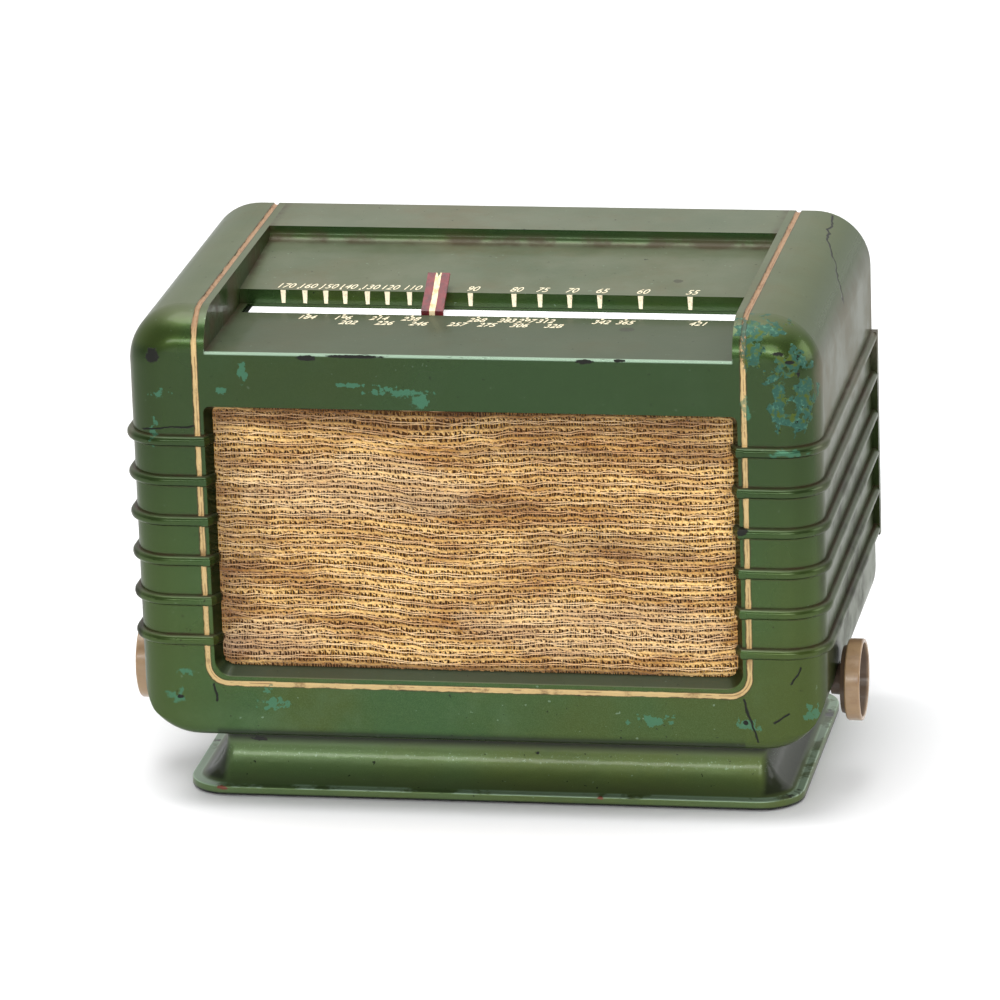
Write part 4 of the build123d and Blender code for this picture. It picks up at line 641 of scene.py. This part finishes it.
bench.feed(shader["Normal"], bump(bench, bench.plus(bench.noise(place, 700.0, 2.0), stripe), 0.05 * MM))
dress(pointer_paint, "pointer")

old_brass = metal_finish("old_brass", (196, 152, 78), (120, 88, 44), 0.3, 110.0, 0.7)
bright_steel = metal_finish("bright_steel", (182, 182, 180), (128, 124, 116), 0.26, 140.0, 0.3)
zinc_plate = metal_finish("zinc_plate", (158, 160, 156), (118, 114, 104), 0.42, 70.0, 0.6)
dress(old_brass, "pointer_carriage", "pulley_right", "pulley_left", "pulley_corner", "pulley_rear")
dress(old_brass, "tuning_spindle", "tuning_bushing", "volume_shaft", "lamp_holders", "terminal_screws")
dress(bright_steel, "pointer_rail", "pulley_pins", "drum_spring")
dress(zinc_plate, "pulley_brackets", "gang_frame", "volume_control")

# The dial cord and the drive cord are waxed braid; they run over brass pulleys to a spun aluminium drum on
# the shaft of the tuning gang, whose vanes are thin aluminium between steatite blocks.
cord_braid, bench, shader = new_material("cord_braid")
place = bench.place()
strands = {"Vector": place, "Scale": 700.0, "Distortion": 2.0, "Detail": 2.0}
braid = bench.put("TexWave", strands, bands_direction="DIAGONAL").outputs["Fac"]
bench.feed(shader["Base Color"], bench.blend(braid, shade((150, 132, 98)), shade((92, 76, 52))))
shader["Roughness"].default_value = 0.8
bench.feed(shader["Normal"], bump(bench, braid, 0.08 * MM))
dress(cord_braid, "pointer_cord", "drive_cord")
dress(metal_finish("drum_aluminium", (196, 196, 194), (150, 148, 142), 0.34, 50.0, 0.25), "cord_drum")
vane_aluminium = metal_finish("vane_aluminium", (188, 188, 186), (140, 138, 132), 0.3, 60.0, 0.2)
dress(vane_aluminium, "gang_rotor", "gang_stators")
dress(body_finish("steatite", (214, 206, 184), (188, 174, 146), 0.55, 160.0), "stator_insulators")

# The grille is a coarse open cloth glued over the plywood baffle: each repeat has a thick slubby straw yarn,
# two thin pale yarns and a row of holes where the warp shows. It has slackened into waves near its tear.
CLOTH_HALF, CLOTH_LOW, CLOTH_HIGH, CLOTH_BACK = 130.0, 60.3, 202.5, -89.2
GRILLE_HALF, GRILLE_LOW, GRILLE_HIGH = 119.2, 70.9, 194.0
ROW_PITCH = 4.85
yarns = np.random.default_rng(11)
WAVES, FINE_WAVES = (
    # each wave is its height, its pace along x, its pace along z and its start
    [tuple(yarns.uniform(low, high) for low, high in spans) for _ in range(number)]
    for number, spans in (
        (8, ((0.25, 0.75), (0.015, 0.1), (-0.014, 0.014), (0, 6.28))),
        (7, ((0.07, 0.18), (0.15, 0.4), (0.1, 0.4), (0, 6.28))),
    )
)


def slack(x, z):
    """How far the cloth's rows have wandered up or down: slow and quick cosines of x that change slowly with
    z, fading at the cloth's upper and lower edges, and a sag under the tear."""
    moved = sum(a * np.cos(kx * x + kz * z + turn) for a, kx, kz, turn in WAVES + FINE_WAVES) * 0.95
    edge = np.clip((GRILLE_HIGH + 4 - z) / 14, 0, 1) * np.clip((z - GRILLE_LOW + 4) / 12, 0, 1)
    tear = np.exp(-(((x + 32) / 34) ** 2)) * np.exp(-(((z - 186) / 8) ** 2))
    return moved * edge - 3.4 * tear


def proud(x, z, height):
    """How far yarn stands in front of the cloth's back: its height, sinking to 0.35 over the last 2 mm before
    the opening's edge, where it goes behind the cabinet's lip."""
    reach = np.minimum(GRILLE_HALF - np.abs(x), np.minimum(z - GRILLE_LOW, GRILLE_HIGH - z))
    return 0.35 + (height - 0.35) * np.clip(reach / 2.0, 0, 1)


def ripple(run, number, pace):
    """A yarn's own small wander along its run: a sum of cosines with random heights, paces and starts."""
    return sum(
        yarns.uniform(0.05, 0.22) * np.cos(yarns.uniform(*pace) * run + yarns.uniform(0, 6.28))
        for _ in range(number)
    )


def tubes(name, lines, radii, sides, across, finish):
    """Closed tubes: every line is a row of points, each ringed by a polygon in the plane of the two axes
    across, with both ends shut by one face. Lines has the shape (tubes, points, 3), radii (tubes, points)."""
    count, length = lines.shape[:2]
    turn = np.arange(sides) * 2 * np.pi / sides
    rings = np.repeat(lines[:, :, None, :], sides, axis=2)
    rings[..., across[0]] += radii[..., None] * np.cos(turn)
    rings[..., across[1]] += radii[..., None] * np.sin(turn)
    number = np.arange(count * length * sides).reshape(count, length, sides)
    beside = np.roll(number, -1, axis=2)
    walls = np.stack([number[:, :-1], number[:, 1:], beside[:, 1:], beside[:, :-1]], axis=-1).reshape(-1, 4)
    faces = walls.tolist() + number[:, 0].tolist() + number[:, -1, ::-1].tolist()
    return new_piece(name, rings.reshape(-1, 3) * MM, faces, finish, True)


CLOTH_STAINS = [
    ((62, -90, 132), (40, 20, 7)),
    ((-108, -90, 136), (14, 20, 30)),
    ((-10, -90, 150), (36, 20, 5)),
    ((104, -90, 180), (18, 20, 10)),
    ((30, -90, 176), (40, 20, 4)),
]
FADED_PLACES = [
    ((-96, -90, 84), (26, 20, 12)),
    ((-50, -90, 158), (60, 20, 16)),
    ((60, -90, 92), (70, 20, 14)),
]


def yarn_finish(name, light, dark, gloss, darkening):
    """Straw yarn: fibres along it, colour that changes from place to place, brown towards the cloth's left
    edge, top and bottom, brown stains in patches, and faded patches."""
    made, bench, shader = new_material(name)
    place = bench.place()
    x, y, z = bench.axes(place)
    patch = bench.noise(place, 42.0, 5.0, 0.65, (0.5, 1, 2.2))
    fibre = bench.noise(place, 1500.0, 3.0, 0.7, (0.5, 1, 1))
    colour = bench.blend(bench.fade(patch, 0.36, 0.68), shade(light), shade(dark))
    colour = bench.blend(bench.times(bench.fade(fibre, 0.45, 0.75), 0.55), colour, shade(dark, 0.42))
    red = bench.fade(bench.noise(place, 120.0, 4.0, 0.7), 0.58, 0.7)
    colour = bench.blend(bench.times(red, 0.28), colour, shade((168, 100, 44)))
    side = bench.fade(x, -98 * MM, -117 * MM)
    head = bench.fade(z, 180 * MM, 195 * MM)
    foot = bench.fade(z, 75 * MM, 70 * MM)
    blot = spots(bench, place, CLOTH_STAINS, 1.6, 70.0)
    darkened = bench.highest(side, head, foot, bench.times(blot, 0.5))
    darkened = bench.times(darkened, bench.between(bench.fade(patch, 0.3, 0.6), 0.45, 1.0))
    colour = bench.blend(bench.times(darkened, darkening), colour, shade((110, 62, 22)))
    faded = spots(bench, place, FADED_PLACES, 1.6, 60.0)
    colour = bench.blend(bench.times(faded, 0.3), colour, shade((232, 206, 168)))
    bench.feed(shader["Base Color"], colour)
    shader["Roughness"].default_value = gloss
    shader["Sheen Weight"].default_value = 0.25
    bench.feed(shader["Normal"], bump(bench, fibre, 0.18 * MM, 0.8))
    return made


slub_straw = yarn_finish("slub_straw", (246, 208, 136), (184, 134, 62), 0.85, 0.8)
thin_flax = yarn_finish("thin_flax", (242, 208, 156), (200, 150, 94), 0.5, 0.65)
warp_gold = yarn_finish("warp_gold", (214, 166, 66), (160, 106, 36), 0.75, 0.5)
# the scrim's dark brown is painted shade: it stands for the shade seen through the cloth's holes
scrim_shade_brown = body_finish("scrim_shade_brown", (62, 38, 15), (92, 60, 26), 0.9, 60.0, 1400.0, 0.3)

# the backing scrim is a thin sheet cut to the baffle; the yarns lie on it
columns, rows = 131, 72
gx, gz = np.meshgrid(np.linspace(-CLOTH_HALF, CLOTH_HALF, columns), np.linspace(CLOTH_LOW, CLOTH_HIGH, rows))
gy = np.full_like(gx, CLOTH_BACK - 0.15)
number = np.arange(columns * rows).reshape(rows, columns)
quads = np.stack([number[:-1, :-1], number[:-1, 1:], number[1:, 1:], number[1:, :-1]], axis=-1).reshape(-1, 4)
scrim_points = np.stack([gx, gy, gz], axis=-1).reshape(-1, 3) * MM
grille_scrim = new_piece("grille_scrim", scrim_points, quads.tolist(), scrim_shade_brown)
backing = grille_scrim.modifiers.new("thickness", "SOLIDIFY")
backing.thickness = 0.25 * MM
backing.offset = 1.0

row_z = np.arange(GRILLE_LOW + 1.3, GRILLE_HIGH + 1.0, ROW_PITCH)
row_z += yarns.uniform(-0.3, 0.3, len(row_z))
STEP = 0.3
along = np.arange(-GRILLE_HALF - 1.5, GRILLE_HALF + 1.5, STEP)
curl_lines, curl_radii, core_lines, core_radii = [], [], [], []
for level in row_z:
    # the curl winds round its core in turns of uneven length and width, which makes the slubs
    quickness = np.repeat(yarns.uniform(0.6, 1.5, len(along) // 6 + 1), 6)[: len(along)]
    pace = np.cumsum(quickness * STEP * 2 * np.pi / 2.5)
    width = np.interp(along, along[::7], yarns.uniform(0.6, 1.9, len(along[::7])))
    middle = level + slack(along, level)
    curl_z = middle + width * np.sin(pace)
    curl_y = CLOTH_BACK - proud(along, curl_z, 1.5 + 0.65 * np.cos(pace))
    curl_lines.append(np.stack([along + 0.5 * np.cos(pace + 0.8), curl_y, curl_z], axis=1))
    curl_radii.append(0.52 + 0.2 * np.sin(pace * 0.5 + level) + 0.14 * (width - 0.9))
    own = np.interp(along, along[::11], yarns.uniform(-0.45, 0.45, len(along[::11])))
    core_lines.append(np.stack([along, CLOTH_BACK - proud(along, middle, 1.25), middle + own], axis=1)[::3])
    core_radii.append((0.6 + 0.3 * np.interp(along, along[::6], yarns.uniform(-1, 1, len(along[::6]))))[::3])
half = len(curl_lines) // 2
curl_lines, curl_radii = np.array(curl_lines), np.array(curl_radii)
slub_upper = tubes("grille_slub_upper", curl_lines[half:], curl_radii[half:], 5, (1, 2), slub_straw)
slub_lower = tubes("grille_slub_lower", curl_lines[:half], curl_radii[:half], 5, (1, 2), slub_straw)
slub_core = tubes("grille_slub_core", np.array(core_lines), np.array(core_radii), 6, (1, 2), slub_straw)

along = np.arange(-GRILLE_HALF - 1.5, GRILLE_HALF + 1.5, 1.1)
thin_lines, thin_radii = [], []
for level in row_z:
    for offset in (2.15, 3.0):
        own = ripple(along, 4, (0.1, 0.7))
        z_line = level + offset + slack(along, level + offset) + own
        y_line = CLOTH_BACK - proud(along, z_line, 1.75 + 0.2 * np.sin(along * 2.4 + offset))
        thin_lines.append(np.stack([along, y_line, z_line], axis=1))
        thin_radii.append(np.full(len(along), 0.29) + 0.05 * np.sin(along * 0.7 + level))
thin_yarns = tubes("grille_thin_yarns", np.array(thin_lines), np.array(thin_radii), 5, (1, 2), thin_flax)

WARP_PITCH = 1.25
upward = np.arange(GRILLE_LOW - 1.5, GRILLE_HIGH + 1.5, 1.1)
warp_lines, warp_radii = [], []
for number, column in enumerate(np.arange(-GRILLE_HALF - 1.0, GRILLE_HALF + 1.0, WARP_PITCH)):
    lean = ripple(upward, 3, (0.05, 0.35))
    shifted = upward + slack(np.full_like(upward, column), upward)
    weave = 0.75 + 0.3 * np.cos((upward - row_z[0]) * 2 * np.pi / ROW_PITCH + np.pi * (number % 2))
    loose = np.exp(-(((column + 32) / 34) ** 2)) * np.exp(-(((upward - 189) / 5) ** 2))
    stray = yarns.normal(0, 1.5) * loose
    depth = CLOTH_BACK - proud(column, shifted, weave)
    warp_lines.append(np.stack([column + lean + stray, depth, shifted], axis=1))
    warp_radii.append(np.full(len(upward), yarns.uniform(0.2, 0.32)))
warp_yarns = tubes("grille_warp_yarns", np.array(warp_lines), np.array(warp_radii), 4, (0, 1), warp_gold)
yarn_pieces = [slub_upper, slub_lower, slub_core, thin_yarns, warp_yarns]
for piece in [grille_scrim, *yarn_pieces]:
    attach(piece, "set")
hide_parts("grille_cloth")

# The baffle is plywood with a hole for the loudspeaker: a lacquered steel basket, a black paper cone with
# its voice coil, and a magnet pot. Round-headed screws hold the speaker to the board and the board to the
# cabinet.
plywood, bench, shader = new_material("plywood")
place = bench.place()
drawn_out = bench.vector("MULTIPLY", place, (1, 1, 0.15))
figure = {"Vector": drawn_out, "Scale": 55.0, "Distortion": 6.0, "Detail": 3.0}
ring = bench.put("TexWave", figure).outputs["Fac"]
bench.feed(shader["Base Color"], bench.blend(ring, shade((156, 116, 74)), shade((116, 80, 46))))
shader["Roughness"].default_value = 0.7
bench.feed(shader["Normal"], bump(bench, ring, 0.1 * MM, 0.5))
dress(plywood, "baffle_board")
dress(metal_finish("basket_lacquer", (96, 98, 98), (66, 64, 62), 0.45, 60.0, 0.5, 0.4), "speaker_basket")
dress(body_finish("cone_paper", (44, 40, 38), (64, 58, 52), 0.9, 50.0, 1400.0, 0.2), "speaker_cone")
dress(metal_finish("magnet_iron", (84, 80, 74), (58, 52, 46), 0.5, 60.0, 0.7, 0.6), "speaker_magnet")

# The chassis is a folded steel pan, cadmium plated and stained. It carries five valves in sockets, two coil
# cans, the mains and output transformers and the smoothing capacitor.
dress(metal_finish("chassis_plate", (150, 150, 142), (104, 100, 88), 0.45, 26.0, 0.7), "chassis")
can_aluminium = metal_finish("can_aluminium", (188, 188, 186), (136, 134, 128), 0.32, 45.0, 0.3)
dress(can_aluminium, "coil_cans", "electrolytic_can")
core_iron = metal_finish("core_iron", (52, 50, 48), (34, 32, 30), 0.45, 90.0, 0.6, 0.5)
dress(core_iron, "transformer_core", "output_transformer")
winding_paper = body_finish("winding_paper", (150, 112, 62), (112, 78, 40), 0.6, 70.0, 1100.0, 0.15)
dress(winding_paper, "transformer_coil")
dress(body_finish("black_bakelite", (26, 22, 20), (48, 40, 34), 0.3, 50.0), "valve_bases")
brown_bakelite = body_finish("brown_bakelite", (84, 48, 24), (58, 32, 16), 0.45, 60.0)
dress(brown_bakelite, "valve_sockets", "terminal_strip")
dress(metal_finish("anode_nickel", (92, 92, 90), (56, 54, 52), 0.5, 90.0, 0.4), "valve_electrodes")
valve_glass, bench, shader = new_material("valve_glass")
haze = bench.fade(bench.noise(bench.place(), 60.0), 0.3, 0.7)
bench.feed(shader["Base Color"], bench.blend(haze, shade((236, 240, 238)), shade((220, 226, 222))))
shader["Roughness"].default_value = 0.04
shader["Transmission Weight"].default_value = 1.0
shader["IOR"].default_value = 1.48
dress(valve_glass, "valve_mixer", "valve_amplifier", "valve_detector", "valve_output", "valve_rectifier")
dress(valve_glass, "lamp_bulbs")

# The knobs are tan mouldings pushed on quarter-inch shafts, one each side: a thick polished rim round a
# dished face that has gone brown and is darkened by painted shade, a darker flange behind the rim and a thin
# hub into the cabinet.
TUNING_Y, VOLUME_Y, KNOB_Z = -40.0, -34.0, 53.5
knob_tan, bench, shader = new_material("knob_tan")
place = bench.place()
x, y, z = bench.axes(place)
axis_y = bench.between(bench.math("GREATER_THAN", x, 0.0), VOLUME_Y * MM, TUNING_Y * MM)
spoke = bench.put("CombineXYZ", [0.0, bench.minus(y, axis_y), bench.minus(z, KNOB_Z * MM)])
radius = bench.vector("LENGTH", spoke.outputs[0])
out = bench.math("ABSOLUTE", x)
# the dished face: brown, and darker still by painted shade
dish_shade_and_brown = bench.times(bench.fade(radius, 17.3 * MM, 16.9 * MM), bench.fade(out, 165 * MM, 165.6 * MM))
flange = bench.fade(out, 164.4 * MM, 164.0 * MM)
swirl = bench.fade(bench.noise(place, 70.0, 5.0, 0.6, (0.5, 1, 1)), 0.35, 0.7)
tan = bench.blend(swirl, shade((154, 126, 92)), shade((122, 92, 62)))
tan = bench.blend(bench.fade(bench.noise(place, 700.0, 3.0, 0.7), 0.66, 0.74), tan, shade((110, 84, 58)))
tan = bench.blend(bench.times(dish_shade_and_brown, 0.9), tan, shade((66, 44, 20)))
tan = bench.blend(bench.times(flange, 0.9), tan, shade((56, 38, 24)))
bench.feed(shader["Base Color"], tan)
bench.feed(shader["Roughness"], bench.between(bench.highest(dish_shade_and_brown, flange), 0.3, 0.5))
shader["Coat Weight"].default_value = 0.3
shader["Coat Roughness"].default_value = 0.15
bench.feed(shader["Normal"], bump(bench, bench.noise(place, 500.0, 2.0), 0.04 * MM, 0.5))
dress(knob_tan, "tuning_knob", "volume_knob")

# The rear cover is dark pressed fibre board with rows of slots over the valves, held by four screws.
pressed_board, bench, shader = new_material("pressed_board")
place = bench.place()
fibre = bench.noise(place, 240.0, 6.0, 0.75, (0.35, 1, 1))
speck = bench.fade(bench.noise(place, 700.0, 3.0, 0.6), 0.6, 0.7)
colour = bench.blend(bench.fade(fibre, 0.35, 0.7), shade((84, 58, 38)), shade((58, 38, 24)))
colour = bench.blend(bench.times(speck, 0.35), colour, shade((138, 106, 74)))
dusty = bench.times(bench.fade(bench.noise(place, 16.0, 5.0), 0.5, 0.75), 0.4)
colour = bench.blend(dusty, colour, shade((108, 88, 66)))
bench.feed(shader["Base Color"], colour)
shader["Roughness"].default_value = 0.75
bench.feed(shader["Normal"], bump(bench, fibre, 0.15 * MM, 0.6))
dress(pressed_board, "rear_cover")


# The studio is a pale floor that runs far back, lit by soft lights overhead, at the right and in front, where
# a low wide strip puts the long highlight on the cove, under a white sky that is dimmer in front.
def soft_light(name, place, target, size, power):
    """A rectangular area light at place that faces target; its size is its width and height in metres."""
    lamp = bpy.data.lights.new(name, "AREA")
    lamp.shape = "RECTANGLE"
    lamp.size, lamp.size_y = size
    lamp.energy = power
    held = bpy.data.objects.new(name, lamp)
    bpy.context.scene.collection.objects.link(held)
    away = Matrix.Translation(place).to_translation() - Matrix.Translation(target).to_translation()
    held.location = place
    held.rotation_euler = away.to_track_quat("Z", "Y").to_euler()


soft_light("overhead", (-0.3, -0.3, 2.2), (0, 0, 0.1), (1.8, 1.2), 34.0)
soft_light("front", (0.5, -2.6, 1.5), (0, 0, 0.15), (1.2, 0.9), 11.0)
soft_light("low_strip", (0.0, -2.3, 0.85), (0, 0, 0.1), (2.4, 0.3), 17.0)
soft_light("right", (2.4, 0.2, 1.0), (0, 0, 0.15), (1.4, 1.2), 14.0)
world = bpy.data.worlds.new("sky")
world.use_nodes = True
bench = Bench(world.node_tree)
across, depth, height = bench.axes(bench.put("TexCoord").outputs["Generated"])
sky = bench.between(bench.fade(depth, -0.6, 0.6), 0.4, 1.05)
sky = bench.highest(sky, bench.times(bench.fade(height, 0.5, 0.95), 1.2))
world.node_tree.nodes["Background"].inputs["Color"].default_value = (1, 1, 1, 1)
bench.feed(world.node_tree.nodes["Background"].inputs["Strength"], sky)
bpy.context.scene.world = world
floor_paint, bench, shader = new_material("floor_paint")
shader["Base Color"].default_value = shade((246, 246, 247))
shader["Roughness"].default_value = 0.6
FLOOR = 12.0
corners = [(-FLOOR, -FLOOR, 0), (FLOOR, -FLOOR, 0), (FLOOR, FLOOR, 0), (-FLOOR, FLOOR, 0)]
floor = new_piece("floor", corners, [(0, 1, 2, 3)], floor_paint)
